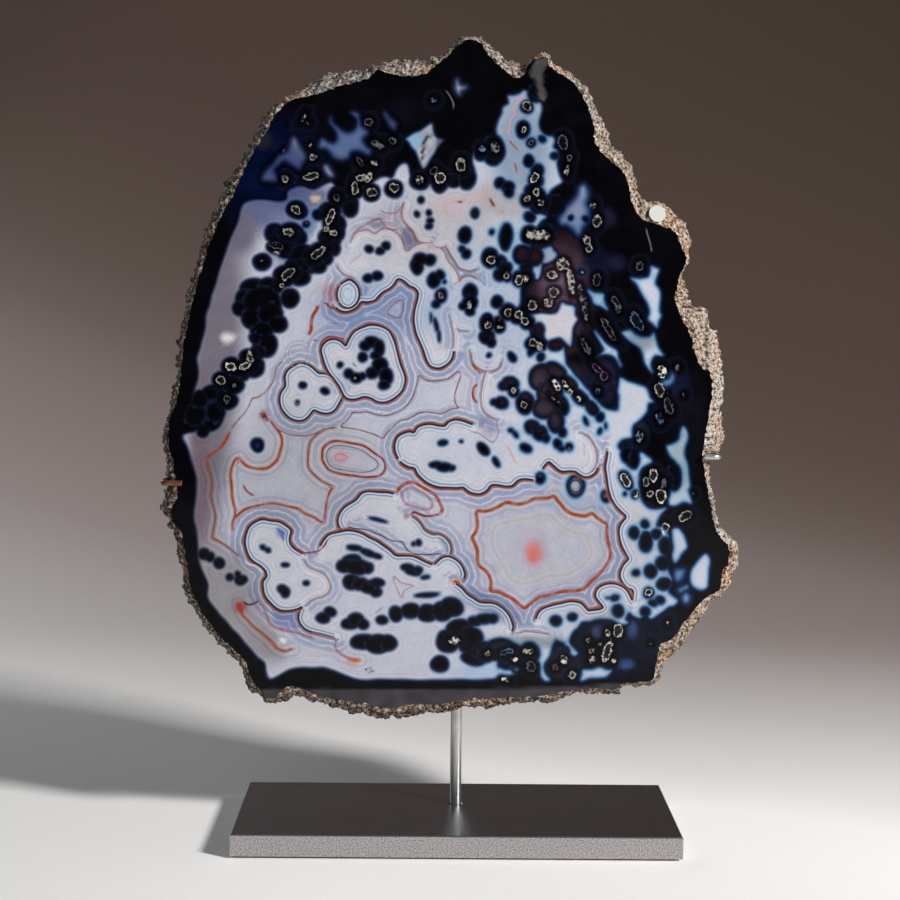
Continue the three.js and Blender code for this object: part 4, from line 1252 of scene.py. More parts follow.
def over_depth(at):
    """How far inside the last drawn eye dark points are, and REACH outside all eyes."""
    depth = np.full(len(at), REACH)
    for eye in EYES:
        near = near_ellipse(at, eye, 1.0)
        found = ellipse_depth(at[near], eye)
        depth[near] = np.where(found > 0, np.minimum(found, REACH), depth[near])
    return depth


def linear(colour):
    """An sRGB colour of 0 to 255 as linear values of 0 to 1."""
    share = np.array(colour[:3], float) / 255
    return np.where(share < 0.04045, share / 12.92, ((share + 0.055) / 1.055) ** 2.4)


def tinted(at, base, patches):
    """Colour at each point: a base with soft patches on it, each an ellipse and a colour."""
    colour = np.tile(linear(base), (len(at), 1))
    for ellipse, tint in patches:
        share = np.clip(PATCH_END - ellipse_level(at, ellipse), 0, 1)[:, None]
        share = share * share * (3 - 2 * share)
        colour = colour * (1 - share) + linear(tint) * share
    return colour


def with_tints_and_painted_reflection(at, colour):
    """The colours with the flat tints on them, the first of them a painted reflection of the floor."""
    for soft, tint, points in FLAT_TINTS_AND_PAINTED_REFLECTION:
        depth = shape_depth(at, points, soft)
        share = ((depth + soft) / (2 * soft))[:, None]
        colour = colour * (1 - share) + linear(tint) * share
    return colour


def core_fields(at):
    """Depth in the nearest core, whether it is a ring, and its colour."""
    depth = np.full(len(at), -REACH)
    hollow = np.zeros(len(at))
    tint = np.tile(linear(CORE_TINTS["beige"]), (len(at), 1))
    for (kind, name), ellipses in CORES.items():
        for ellipse in ellipses:
            near = near_ellipse(at, ellipse, REACH)
            found = ellipse_depth(at[near], ellipse)
            if kind == "ring":
                found = found + RING_HALF_WIDTH
            deeper = found > depth[near]
            chosen = near[deeper]
            depth[chosen] = found[deeper]
            hollow[chosen] = kind == "ring"
            tint[chosen] = linear(CORE_TINTS[name])
    return depth, hollow, tint


def line_fields(at, layer):
    """Signed distance to the nearest of a layer's lines, in half widths, its strength and its colour."""
    best = np.full(len(at), 2 * REACH)
    value = np.full(len(at), REACH)
    weight = np.zeros(len(at))
    tint = np.tile(linear(LINE_TINTS["brown"]), (len(at), 1))
    for part, half_width, strength, name, closed, points in LINES:
        if part != layer:
            continue
        chosen, gap, side, fade = take_nearer(best, at, points, closed, half_width + LINE_MARGIN)
        value[chosen] = gap * side / half_width
        outer = np.clip((half_width + LINE_FADE_END - gap) / LINE_FADE, 0, 1)
        weight[chosen] = strength * fade * outer
        tint[chosen] = linear(LINE_TINTS[name])
    return value, weight, tint


def band_fields(at, layer):
    """Signed distance to the nearest outline of a banded pocket, its strength and its redness."""
    best = np.full(len(at), BAND_REACH)
    value = np.full(len(at), BAND_REACH)
    weight = np.zeros(len(at))
    red = np.zeros(len(at))
    for part, strength, redness, closed, points in BANDS:
        if part != layer:
            continue
        chosen, gap, side, fade = take_nearer(best, at, points, closed, BAND_REACH)
        value[chosen] = gap * side
        weight[chosen] = strength * fade * np.clip((BAND_FADE_END - gap) / BAND_FADE, 0, 1)
        red[chosen] = redness
    return value, weight, red


def zone_field(at):
    """Distance to the nearest pocket outline, whether it is within, and the zone's strength."""
    best = np.full(len(at), ZONE_REACH)
    inner = np.zeros(len(at))
    weight = np.zeros(len(at))
    for _, strength, _, closed, points in BANDS:
        chosen, _, side, _ = take_nearer(best, at, points, closed, ZONE_REACH)
        inner[chosen] = side > 0
        weight[chosen] = min(1.0, ZONE_BASE + ZONE_GAIN * strength)
    return packed(best, inner, weight)


def beside_field(at):
    """Distance to the nearest strong single line and its strength."""
    best = np.full(len(at), BESIDE_REACH)
    weight = np.zeros(len(at))
    for _, half_width, strength, _, closed, points in LINES:
        if len(points) < BESIDE_LEAST_POINTS or half_width < BESIDE_LEAST_WIDTH:
            continue
        chosen = take_nearer(best, at, points, closed, BESIDE_REACH)[0]
        weight[chosen] = strength
    return packed(best, weight)


def packed(*values):
    """Two or three numbers for each point as one field."""
    spare = [np.zeros(len(values[0]))] * (3 - len(values))
    return np.stack((*values, *spare), axis=1)


def pattern(at):
    """All fields of the polished face's pattern at picture points."""
    at = wavered(at, WAVER)
    core, hollow, core_tint = core_fields(at)
    fields = {
        "light": light_depth(at),
        "over": over_depth(at),
        "core": packed(core, hollow),
        "core_tint": core_tint,
        "far": zone_field(at),
        "beside": beside_field(at),
        # ground and deep carry the flat tints, the painted floor reflection among them
        "ground": with_tints_and_painted_reflection(at, tinted(at, GROUND, GROUND_PATCHES)) / linear(PALE_GROUND),
        "deep": with_tints_and_painted_reflection(at, tinted(at, DEEP, DEEP_PATCHES)),
    }
    quiet = abs(fields["light"])
    for layer in LAYERS:
        value, weight, red = band_fields(at, layer)
        fields[f"band_{layer}"] = packed(value, weight, red)
        quiet = np.minimum(quiet, abs(value))
        value, weight, tint = line_fields(at, layer)
        fields[f"line_{layer}"] = packed(value, weight)
        fields[f"line_{layer}_tint"] = tint
        quiet = np.minimum(quiet, np.where(weight > 0, abs(value), REACH))
    fields["quiet"] = quiet
    return fields


def needs_detail(fields):
    """Points where the pattern changes fast."""
    wanted = abs(fields["light"]) < LIGHT_DETAIL
    wanted |= abs(fields["core"][:, 0]) < CORE_DETAIL
    for layer in LAYERS:
        band = fields[f"band_{layer}"]
        wanted |= (band[:, 1] > 0) & (abs(band[:, 0]) < BAND_DETAIL)
        line = fields[f"line_{layer}"]
        wanted |= (line[:, 1] > 0) & (abs(line[:, 0]) < LINE_DETAIL)
    return wanted


def rings_of(mesh):
    """The stone's rings from the front edge to the back edge, an array of rings, points and mm."""
    corners = np.array([v.co for v in mesh.vertices]) / MM
    places, merged = np.unique(np.round(corners, CORNER_DIGITS), axis=0, return_inverse=True)
    merged = merged.reshape(-1)
    triangles = [tuple(int(merged[i]) for i in p.vertices) for p in mesh.polygons]
    neighbours = {i: set() for i in range(len(places))}
    for a, b, c in triangles:
        neighbours[a] |= {b, c}
        neighbours[b] |= {a, c}
        neighbours[c] |= {a, b}
    ring_number = {}
    members = {i for i in neighbours if places[i][1] < FACE_Y + ON_FACE}
    count = 0
    while members:
        ring_number.update({i: count for i in members})
        members = {j for i in members for j in neighbours[i]} - set(ring_number)
        count += 1
    links = {i: set() for i in neighbours}
    for triangle in triangles:
        if len({ring_number[i] for i in triangle}) < 2:
            continue
        for a, b in ((0, 1), (1, 2), (2, 0)):
            start, end = triangle[a], triangle[b]
            if ring_number[start] == ring_number[end]:
                links[start].add(end)
                links[end].add(start)
    rings = []
    for number in range(count):
        rings.append(walked(links, [i for i in ring_number if ring_number[i] == number], places))
    for number in range(1, count):
        rings[number] = matched(rings[number - 1], rings[number])
    return np.array(rings)


def walked(links, members, places):
    """A ring's points in order, clockwise as seen from the front."""
    order = [min(members)]
    used = set(order)
    while True:
        onward = [i for i in sorted(links[order[-1]]) if i not in used]
        if not onward:
            break
        order.append(onward[0])
        used.add(onward[0])
    ring = places[order]
    x, z = ring[:, 0], ring[:, 2]
    area = np.sum(x * np.roll(z, -1) - z * np.roll(x, -1))
    return ring[::-1] if area > 0 else ring


def matched(before, ring):
    """The ring turned so that its points stand opposite those of the ring before it."""
    sums = [np.sum((np.roll(ring, -k, axis=0) - before) ** 2) for k in range(len(ring))]
    return np.roll(ring, -int(np.argmin(sums)), axis=0)


def evenly(rings, count):
    """The rings with that many points each, evenly round the widest one."""
    widest = rings[WIDEST_RING]
    lengths = np.linalg.norm(np.roll(widest, -1, axis=0) - widest, axis=1)
    ends = np.concatenate(([0], np.cumsum(lengths)))
    spots = np.interp(np.arange(count) * ends[-1] / count, ends, np.arange(len(ends)))
    whole = np.floor(spots).astype(int)
    size = rings.shape[1]
    before, start, end, after = (rings[:, (whole + step) % size] for step in (-1, 0, 1, 2))
    return spline(before, start, end, after, (spots - whole)[None, :, None])


def rind_rows(rings):
    """Rows of points over the rind, with its lumps and pits, from the front edge to the back edge."""
    heights = np.linspace(0, len(rings) - 1, (len(rings) - 1) * ROWS_BETWEEN_RINGS + 1)
    lower = np.minimum(heights.astype(int), len(rings) - 2)
    share = (heights - lower)[:, None, None]
    rows = rings[lower] * (1 - share) + rings[lower + 1] * share
    widest = rings[WIDEST_RING]
    tangent = np.roll(widest, -1, axis=0) - np.roll(widest, 1, axis=0)
    outward = np.stack((-tangent[:, 2], np.zeros(len(tangent)), tangent[:, 0]), axis=1)
    outward /= np.linalg.norm(outward, axis=1, keepdims=True)
    dot_low, dot_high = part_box("paper_dot")
    dot_middle = np.array((dot_low + dot_high) / 2) / MM
    for number, row in enumerate(rows):
        from_edge = min(number, len(rows) - 1 - number)
        lump_share = min(1.0, LUMP_BASE + LUMP_GAIN * from_edge)
        knob_share = min(1.0, KNOB_GAIN * from_edge)
        away = np.linalg.norm(row - dot_middle, axis=1)
        calm = np.clip((away - CALM_RADIUS) / CALM_FADE, 0, 1)
        lumps = np.array([rind_lump(point) for point in row])
        knobs = np.array([rind_knob(point) for point in row])
        rows[number] += outward * ((lumps * lump_share + knobs * knob_share) * calm)[:, None]
    return rows


def rind_lump(point):
    """Height of the rind's lumps, grains and pits at a point, in mm."""
    spot = Vector(point)
    lump = noise.fractal(spot / LUMP_WIDTH, 1.0, 2.0, 3)
    grain = noise.fractal(spot / GRAIN_WIDTH, 0.7, 2.1, 3)
    pit = min(0.0, noise.noise(spot / PIT_WIDTH) + PIT_LEVEL)
    return LUMP_HEIGHT * lump + GRAIN_HEIGHT * grain + PIT_DEPTH * pit


def rind_knob(point):
    """Height of the rind's broad knobs and hollows between the two faces, in mm."""
    spot = Vector(point)
    return sum(height * noise.noise(spot / width) for height, width in KNOBS) - KNOB_SETBACK


def filled(edge, lattice):
    """Triangles over the points of a closed edge and the lattice points in it."""
    points = np.concatenate((edge, lattice))
    count = len(edge)
    borders = [(i, (i + 1) % count) for i in range(count)]
    made = delaunay_2d_cdt([Vector(p) for p in points], borders, [], 0, 1e-5, False)
    corners = np.array(made[2])
    middles = points[corners].mean(axis=1)
    return corners[inside(middles, edge)]


def lattice_in(edge, step, clear):
    """Staggered points inside a closed edge and clear of it, with their column and row numbers."""
    low = edge.min(axis=0)
    high = edge.max(axis=0)
    columns = np.arange(low[0], high[0], step)
    rows = np.arange(low[1], high[1], step * ROW_SHARE)
    across, down = np.meshgrid(np.arange(len(columns)), np.arange(len(rows)))
    across, down = across.reshape(-1), down.reshape(-1)
    at = np.stack((columns[across] + 0.5 * step * (down % 2), rows[down]), axis=1)
    gap = nearest_on_line(at, edge, True, clear)[0]
    kept = inside(at, edge) & (gap >= clear)
    return at[kept], across[kept], down[kept]


def front_points(edge):
    """Lattice points of the front face: all where the pattern changes fast, one in four elsewhere."""
    at, across, down = lattice_in(edge, FINE_STEP, FINE_STEP * FRONT_CLEAR)
    sparse = (down % 4 == 0) & (across % 2 == 0)
    sparse |= (down % 4 == 2) & (across % 2 == 1)
    return at[needs_detail(pattern(at)) | sparse]


def put_field(mesh, name, values):
    """Writes a field onto a mesh's points."""
    if values.ndim == 1:
        layer = mesh.attributes.new(name, "FLOAT", "POINT")
        layer.data.foreach_set("value", values.astype(np.float32))
    else:
        layer = mesh.attributes.new(name, "FLOAT_VECTOR", "POINT")
        layer.data.foreach_set("vector", values.astype(np.float32).reshape(-1))


def wall_faces(rows, count):
    """Faces between closed rows of that many points each."""
    numbers = np.arange(count)
    onward = (numbers + 1) % count
    first = np.stack((numbers, onward, onward + count, numbers + count), axis=1)
    return np.concatenate([first + row * count for row in range(rows - 1)]).tolist()


def smoothed(mesh, is_sharp):
    """Turns all faces outwards and shades the mesh smoothly, apart from sharp edges."""
    work = bmesh.new()
    work.from_mesh(mesh)
    bmesh.ops.recalc_face_normals(work, faces=work.faces)
    for face in work.faces:
        face.smooth = True
    for edge in work.edges:
        edge.smooth = not is_sharp(edge)
    work.to_mesh(mesh)
    work.free()


def between_kinds(edge):
    """Whether an edge lies between faces of two materials."""
    return len({face.material_index for face in edge.link_faces}) > 1


def at_corner(edge):
    """Whether the two faces at an edge meet at a clear angle."""
    return edge.calc_face_angle(0) >= SHARP_ANGLE


def build_stone():
    """The slice: its patterned faces and rough rind in one mesh."""
    rows = rind_rows(evenly(rings_of(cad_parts["agate_slice"].data), RIM_COUNT))
    last = (len(rows) - 1) * RIM_COUNT
    front_edge = to_picture(rows[0])
    front_at = front_points(front_edge)
    front = filled(front_edge, front_at)
    front = np.where(front < RIM_COUNT, front, front + last)
    back_edge = to_picture(rows[-1])
    back_at = lattice_in(back_edge, BACK_STEP, BACK_STEP * BACK_CLEAR)[0]
    back = filled(back_edge, back_at)
    back = np.where(back < RIM_COUNT, back, back + len(front_at)) + last
    flat = front.tolist() + back.tolist()
    points = np.concatenate((rows.reshape(-1, 3), on_plane(front_at, FACE_Y), on_plane(back_at, BACK_Y)))
    mesh = bpy.data.meshes.new("agate_stone")
    mesh.from_pydata(points * MM, [], flat + wall_faces(len(rows), RIM_COUNT))
    kinds = np.zeros(len(mesh.polygons), np.int32)
    kinds[len(flat) :] = 1
    mesh.polygons.foreach_set("material_index", kinds)
    put_pattern(mesh, points, last, len(front_at))
    smoothed(mesh, between_kinds)
    return mesh


def put_pattern(mesh, points, last, front_count):
    """Writes the pattern's fields onto the two flat faces, and the distance to the rind's groove, for its
    painted shade, onto the front half.
    """
    total = len(points)
    behind = np.zeros(total, bool)
    behind[last : last + RIM_COUNT] = True
    behind[last + RIM_COUNT + front_count :] = True
    over = points.copy()
    over[:, 1] = FACE_Y
    at = to_picture(over)
    at[behind] = wavered(at[behind] / BACK_COARSE, BACK_WAVER) * BACK_COARSE
    flat = np.zeros(total, bool)
    flat[:RIM_COUNT] = True
    flat[last:] = True
    for name, values in pattern(at[flat]).items():
        whole = np.zeros((total,) + values.shape[1:])
        whole[flat] = values
        put_field(mesh, name, whole)
    # distance to the rind's groove, which the rind's finish darkens as painted shade
    gap = np.full(total, REACH)
    ahead = np.flatnonzero(points[:, 1] < 0)
    groove_shade_line = np.array(RIND_GROOVE_SHADE_LINE, float)
    gap[ahead] = nearest_on_line(to_picture(points[ahead]), groove_shade_line, False, REACH)[0]
    put_field(mesh, "gap", gap)


def swept(name, centres, radii, sides=ROD_SIDES):
    """A round rod along a line of points, with flat ends, in mm."""
    centres = np.array(centres, float)
    headings = np.gradient(centres, axis=0)
    headings /= np.linalg.norm(headings, axis=1, keepdims=True)
    angles = np.arange(sides) * 2 * math.pi / sides
    reference = np.array((0.0, 1.0, 0.0) if abs(headings[0][2]) > STEEP else (0.0, 0.0, 1.0))
    points = []
    for centre, heading, radius in zip(centres, headings, radii):
        first = np.cross(heading, reference)
        first /= np.linalg.norm(first)
        second = np.cross(first, heading)
        circle = np.outer(np.cos(angles), first) + np.outer(np.sin(angles), second)
        points.append(centre + radius * circle)
    points = np.concatenate(points)
    ends = [list(range(sides))[::-1], list(range(len(points) - sides, len(points)))]
    mesh = bpy.data.meshes.new(name)
    mesh.from_pydata(points * MM, [], ends + wall_faces(len(centres), sides))
    smoothed(mesh, at_corner)
    return mesh


def build_post():
    """The upright rod."""
    heights = (POST_BOTTOM, POST_BOTTOM + POST_EDGE, POST_TOP - POST_EDGE, POST_TOP)
    radii = (POST_RADIUS - POST_EDGE, POST_RADIUS, POST_RADIUS, POST_RADIUS - POST_EDGE)
    return swept("post_rod", [(0, POST_Y, z) for z in heights], radii, POST_SIDES)


def rounded_corner(start, corner, end, steps=12):
    """Points along a bend from start to end."""
    shares = np.linspace(0, 1, steps)[:, None]
    return (1 - shares) ** 2 * start + 2 * shares * (1 - shares) * corner + shares**2 * end


def build_arm(name, grip):
    """A gripping rod: from the post, behind the stone, round its rim and over the face."""
    side = grip["side"]
    tip = on_plane(np.array([[grip["tip"], grip["y"]]]), ARM_FRONT_Y)[0]
    bend = on_plane(np.array([[grip["outer"], grip["y"]]]), (ARM_REAR_Y + ARM_FRONT_Y) / 2)[0]
    outer = bend[0] - side * ARM_RADIUS
    level = bend[2]
    inner = outer - side * ARM_TURN
    reach = side * (POST_RADIUS + ARM_GAP)
    start = [(reach + side * place, ARM_REAR_Y, level) for place in JOINT_PLACES]
    rear = rounded_corner(
        np.array((inner, ARM_REAR_Y, level)),
        np.array((outer, ARM_REAR_Y, level)),
        np.array((outer, ARM_REAR_Y - ARM_TURN, level)),
    )
    front = rounded_corner(
        np.array((outer, ARM_FRONT_Y + ARM_TURN, level)),
        np.array((outer, ARM_FRONT_Y, level)),
        np.array((inner, ARM_FRONT_Y, level)),
    )
    finish = [(tip[0] + side * TIP_BEVEL, ARM_FRONT_Y, level), (tip[0], ARM_FRONT_Y, level)]
    centres = np.concatenate((start, rear, front, finish))
    radii = np.full(len(centres), ARM_RADIUS)
    radii[: len(start)] += JOINT_SWELL
    radii[-1] -= TIP_BEVEL
    return swept(name, centres, radii)


class Finish:
    """A procedural material under construction."""

    def __init__(self, name, **values):
        self.material = bpy.data.materials.new(name)
        self.material.use_nodes = True
        self.tree = self.material.node_tree
        self.tree.nodes.clear()
        self.shader = self.add("ShaderNodeBsdfPrincipled", values)
        output = self.tree.nodes.new("ShaderNodeOutputMaterial")
        self.tree.links.new(self.shader.outputs[0], output.inputs[0])

    def add(self, kind, inputs=None, **settings):
        """A node with those inputs: values or other nodes' outputs."""
        node = self.tree.nodes.new(kind)
        for name, value in settings.items():
            setattr(node, name, value)
        for name, value in (inputs or {}).items():
            self.feed(node, name, value)
        return node

    def feed(self, node, name, value):
        """Sets or links one input."""
        if isinstance(value, bpy.types.NodeSocket):
            self.tree.links.new(value, node.inputs[name])
        else:
            node.inputs[name].default_value = value

    def set(self, name, value):
        """Sets or links one input of the shader."""
        self.feed(self.shader, name, value)

    def calc(self, operation, *values):
        """The result of an operation on numbers."""
        node = self.add("ShaderNodeMath", dict(enumerate(values)), operation=operation)
        return node.outputs[0]

    def product(self, *values):
        """Two or more numbers multiplied."""
        result = values[0]
        for value in values[1:]:
            result = self.calc("MULTIPLY", result, value)
        return result

    def between(self, value, low, high, first=0.0, last=1.0):
        """A value's share from low to high, as a number from first to last."""
        inputs = {0: value, 1: low, 2: high, 3: first, 4: last}
        return self.add("ShaderNodeMapRange", inputs).outputs[0]

    def mix(self, factor, first, second, blend="MIX"):
        """Two colours mixed."""
        node = self.add("ShaderNodeMix", data_type="RGBA", blend_type=blend)
        self.feed(node, 0, factor)
        self.feed(node, 6, first)
        self.feed(node, 7, second)
        return node.outputs[2]

    def mix_pair(self, factor, pair):
        """Two sRGB colours mixed."""
        return self.mix(factor, rgba(pair[0]), rgba(pair[1]))

    def times(self, first, second):
        """Two colours multiplied."""
        return self.mix(1.0, first, second, "MULTIPLY")

    def grey(self, strength):
        """A grey of that strength."""
        return self.add("ShaderNodeCombineXYZ", {0: strength, 1: strength, 2: strength}).outputs[0]

    def ramp(self, value, stops):
        """Colour and opacity by value. A stop is a value, an sRGB colour and an opacity."""
        low, high = stops[0][0], stops[-1][0]
        node = self.add("ShaderNodeValToRGB", {0: self.between(value, low, high)})
        elements = node.color_ramp.elements
        for number, (stop, colour, opacity) in enumerate(stops):
            share = (stop - low) / (high - low)
            if number < 2:
                element = elements[number]
                element.position = share
            else:
                element = elements.new(share)
            element.color = (*linear(colour), opacity)
        return node.outputs[0], node.outputs[1]

    def number(self, name):
        """A field of one number."""
        return self.add("ShaderNodeAttribute", attribute_name=name).outputs["Fac"]

    def vector(self, name):
        """A field of three numbers or of colours."""
        return self.add("ShaderNodeAttribute", attribute_name=name).outputs["Vector"]

    def split(self, vector):
        """The three numbers of a vector."""
        return self.add("ShaderNodeSeparateXYZ", {0: vector}).outputs

    def place(self):
        """The place in the piece, in metres."""
        return self.add("ShaderNodeTexCoord").outputs["Object"]

    def noise(self, scale, detail=3.0, roughness=0.55, stretch=None):
        """Smooth noise with that many features in a metre."""
        place = self.place()
        if stretch:
            place = self.add("ShaderNodeMapping", {"Vector": place, "Scale": stretch}).outputs[0]
        inputs = {"Vector": place, "Scale": scale, "Detail": detail, "Roughness": roughness}
        return self.add("ShaderNodeTexNoise", inputs).outputs[0]

    def varied(self, scale, detail, first=0.0, last=1.0):
        """Smooth noise as a number from first to last."""
        return self.between(self.noise(scale, detail), NOISE_LOW, NOISE_HIGH, first, last)

    def cells(self, scale, feature="F1"):
        """Distance to the nearest of random points, with that many in a metre."""
        inputs = {"Vector": self.place(), "Scale": scale, "Randomness": 1.0}
        return self.add("ShaderNodeTexVoronoi", inputs, feature=feature).outputs["Distance"]

    def bump(self, height, distance):
        """Makes the surface look raised by height times distance, in metres."""
        inputs = {"Height": height, "Distance": distance, "Strength": 1.0}
        self.set("Normal", self.add("ShaderNodeBump", inputs).outputs[0])


def rgba(colour):
    """An sRGB colour as a shader's value."""
    return (*[float(v) for v in linear(colour)], 1.0)


def face_finish():
    """The polished faces: dark and light ground, eyes, bands and fine lines, with a painted reflection of
    the floor along the bottom.
    """
    made = Finish("agate_face", **{"Roughness": 0.1, "Specular IOR Level": 0.1})
    light = made.number("light")
    mottle = made.varied(900, 4, first=0.93, last=1.05)
    cloud = made.varied(160, 3, first=0.94, last=1.05)
    quiet = made.number("quiet")
    wave = made.calc("SINE", made.calc("MULTIPLY", quiet, 2 * math.pi / FAINT_BAND))
    fading = made.between(quiet, FAINT_START, FAINT_END, first=0.05, last=0.0)
    banding = made.calc("MULTIPLY_ADD", wave, fading, 1.0)
    shade = made.grey(made.product(mottle, cloud, banding))
    share = made.vector("ground")
    pale = zoned(made, edged(made, rgba(PALE_GROUND)))
    pale = made.times(made.times(pale, share), shade)
    colour = made.mix(made.between(light, -0.6, 0.6), clouded(made), pale)
    colour = rimmed(made, colour, light, share)
    for layer in LAYERS:
        colour = banded(made, colour, layer)
    for layer in LAYERS:
        colour = lined(made, colour, layer)
    made.set("Base Color", cored(made, colour))
    return made.material


def clouded(made):
    """The dark ground, a little lighter between its grown cells."""
    strength = made.between(made.cells(130.0, "SMOOTH_F1"), 0.25, 0.75, first=0.75, last=1.25)
    deep = made.times(made.vector("deep"), made.grey(strength))
    over, over_share = made.ramp(made.number("over"), OVER_STOPS)
    deep = made.mix(over_share, deep, over)
    halo, halo_share = made.ramp(made.split(made.vector("core"))[0], HALO_STOPS)
    return made.mix(halo_share, deep, halo)


def edged(made, colour):
    """Faint bands on both sides of the strong single lines."""
    far, strength = made.split(made.vector("beside"))[:2]
    tone, share = made.ramp(far, BESIDE_STOPS)
    return made.mix(made.product(share, strength), colour, tone)


def zoned(made, colour):
    """Concentric bands round the pockets and pale fill within them."""
    far, inner, strength = made.split(made.vector("far"))
    far = made.calc("ADD", far, made.varied(240, 2, first=-0.9, last=0.9))
    outside, outside_share = made.ramp(far, OUTER_STOPS)
    within, within_share = made.ramp(far, INNER_STOPS)
    zone = made.mix(inner, outside, within)
    share = made.mix(inner, outside_share, within_share)
    return made.mix(made.product(share, strength), colour, zone)


def rimmed(made, colour, light, share):
    """The edge between light and dark ground: grey on the left, blue on the right."""
    sideways = made.split(made.place())[0]
    patch = made.varied(26, 2, first=-0.05, last=0.05)
    blue = made.between(made.calc("ADD", sideways, patch), -0.02, 0.07)
    grey_rim, grey_share = made.ramp(light, EDGE_STOPS)
    blue_rim, blue_share = made.ramp(light, BLUE_EDGE_STOPS)
    rim = made.times(made.mix(blue, grey_rim, blue_rim), share)
    return made.mix(made.mix(blue, grey_share, blue_share), colour, rim)


def banded(made, colour, layer):
    """The dark outline of a pocket with its fringe outside and its pale band inside."""
    value, weight, red = made.split(made.vector(f"band_{layer}"))
    band, share = made.ramp(value, BAND_STOPS)
    fringe, fringe_share = made.ramp(value, FRINGE_STOPS)
    thin, thin_share = made.ramp(value, THIN_STOPS)
    strong = made.between(weight, 0.4, 0.65)
    weak = made.between(weight, 0.04, 0.3)
    colour = made.mix(made.product(thin_share, weak), colour, thin)
    colour = made.mix(made.product(share, strong), colour, band)
    return made.mix(made.product(fringe_share, strong, red), colour, fringe)


def lined(made, colour, layer):
    """Thin grown lines of one colour each."""
    value, weight = made.split(made.vector(f"line_{layer}"))[:2]
    stroke = made.between(made.calc("ABSOLUTE", value), 0.65, 1.35, first=1.0, last=0.0)
    uneven = made.between(made.noise(260, 3), 0.36, 0.56, first=0.72, last=1.0)
    return made.mix(made.product(stroke, weight, uneven), colour, made.vector(f"line_{layer}_tint"))


def cored(made, colour):
    """The granular bright middles of eyes: filled ones and rings."""
    depth, hollow = made.split(made.vector("core"))[:2]
    depth = made.calc("ADD", depth, made.varied(520, 2, first=-1.1, last=1.1))
    inner = made.between(depth, 2 * RING_HALF_WIDTH - CORE_BLUR, 2 * RING_HALF_WIDTH + CORE_BLUR)
    outer = made.between(depth, -CORE_BLUR, CORE_BLUR)
    opened = made.product(inner, hollow, CORE_OPENING)
    cover = made.product(outer, made.calc("SUBTRACT", 1.0, opened))
    broken = made.between(made.noise(430, 3, 0.65), 0.38, 0.56, first=0.15, last=1.0)
    loops = made.between(made.cells(480.0), 0.36, 0.6, first=0.04, last=1.0)
    grains = made.product(broken, made.calc("MAXIMUM", loops, hollow))
    return made.mix(made.product(cover, grains), colour, made.vector("core_tint"))


def rind_painted_light_finish():
    """The rough rind: granular, beige to brown, with dark pits, painted shade on its left, painted light on
    its right and top, and painted shade in a groove.
    """
    made = Finish("agate_rind_painted_light", **{"Roughness": 0.75, "Specular IOR Level": 0.35})
    across, _, height = made.split(made.place())
    # painted shade on the rind's left, painted light with a highlight on its right
    colour = made.ramp(made.between(across, -0.16, 0.16), RIND_PAINTED_SIDE_LIGHT_STOPS)[0]
    coarse = made.between(made.noise(520, 5, 0.7), 0.34, 0.66)
    layers = (
        (height, RIND_HEIGHT_STOPS),
        # painted light from above on the rind's top, over its greyer crust
        (height, RIND_PAINTED_TOP_LIGHT_STOPS),
        (made.noise(38, 4, 0.6), RIND_PATCH_STOPS),
        (coarse, RIND_GRAIN_STOPS),
    )
    for value, stops in layers:
        layer, share = made.ramp(value, stops)
        colour = made.mix(share, colour, layer)
    pits = made.between(made.cells(430.0), 0.12, 0.3, first=1.0, last=0.0)
    pits = made.product(pits, made.between(made.noise(110, 2), 0.44, 0.56))
    # painted shade in the groove on the rind's right side
    groove_shade = made.between(made.number("gap"), 1.0, 2.6, first=0.85, last=0.0)
    dark = made.calc("MAXIMUM", pits, groove_shade)
    made.set("Base Color", made.mix(made.product(dark, 0.88), colour, rgba(PIT_AND_GROOVE_SHADE_COLOUR)))
    made.bump(made.calc("SUBTRACT", coarse, made.product(dark, 0.6)), distance=0.0016)
    return made.material


def plate_finish():
    """Dark flat bar: mill grain along its top, and paler ground edges with dark specks."""
    made = Finish("plate_steel", Metallic=1.0)
    grain = made.noise(420, 5, 0.6, stretch=(0.12, 1.0, 1.0))
    cloud = made.noise(22, 4, 0.6)
    top = made.mix_pair(made.between(grain, NOISE_LOW, NOISE_HIGH), PLATE_TOP_PAIR)
    top = made.mix(made.between(cloud, 0.45, 0.75, first=0.0, last=0.35), top, rgba(PLATE_CLOUD))
    edge = made.mix_pair(made.between(made.noise(1300, 2, 0.6), 0.38, 0.6), PLATE_EDGE_PAIR)
    on_top = made.between(made.split(made.place())[2], PLATE_EDGE_END, PLATE_TOP_START)
    made.set("Base Color", made.mix(on_top, edge, top))
    made.set("Roughness", made.between(cloud, NOISE_LOW, NOISE_HIGH, first=0.28, last=0.34))
    made.bump(grain, distance=0.00006)
    return made.material


def rod_finish():
    """Drawn bright steel rod."""
    made = Finish("rod_steel", Metallic=0.95)
    grain = made.noise(700, 4, 0.6, stretch=(1.0, 1.0, 0.05))
    made.set("Base Color", made.mix_pair(made.between(grain, NOISE_LOW, NOISE_HIGH), ROD_PAIR))
    made.set("Roughness", made.varied(90, 3, first=0.26, last=0.4))
    made.bump(grain, distance=0.00004)
    return made.material


def copper_finish():
    """Copper-coloured rod, worn and a little tarnished."""
    made = Finish("arm_copper", Metallic=0.9)
    wear = made.noise(160, 5, 0.65)
    made.set("Base Color", made.mix_pair(made.between(wear, 0.35, 0.68), COPPER_PAIR))
    made.set("Roughness", made.between(wear, NOISE_LOW, NOISE_HIGH, first=0.28, last=0.45))
    return made.material


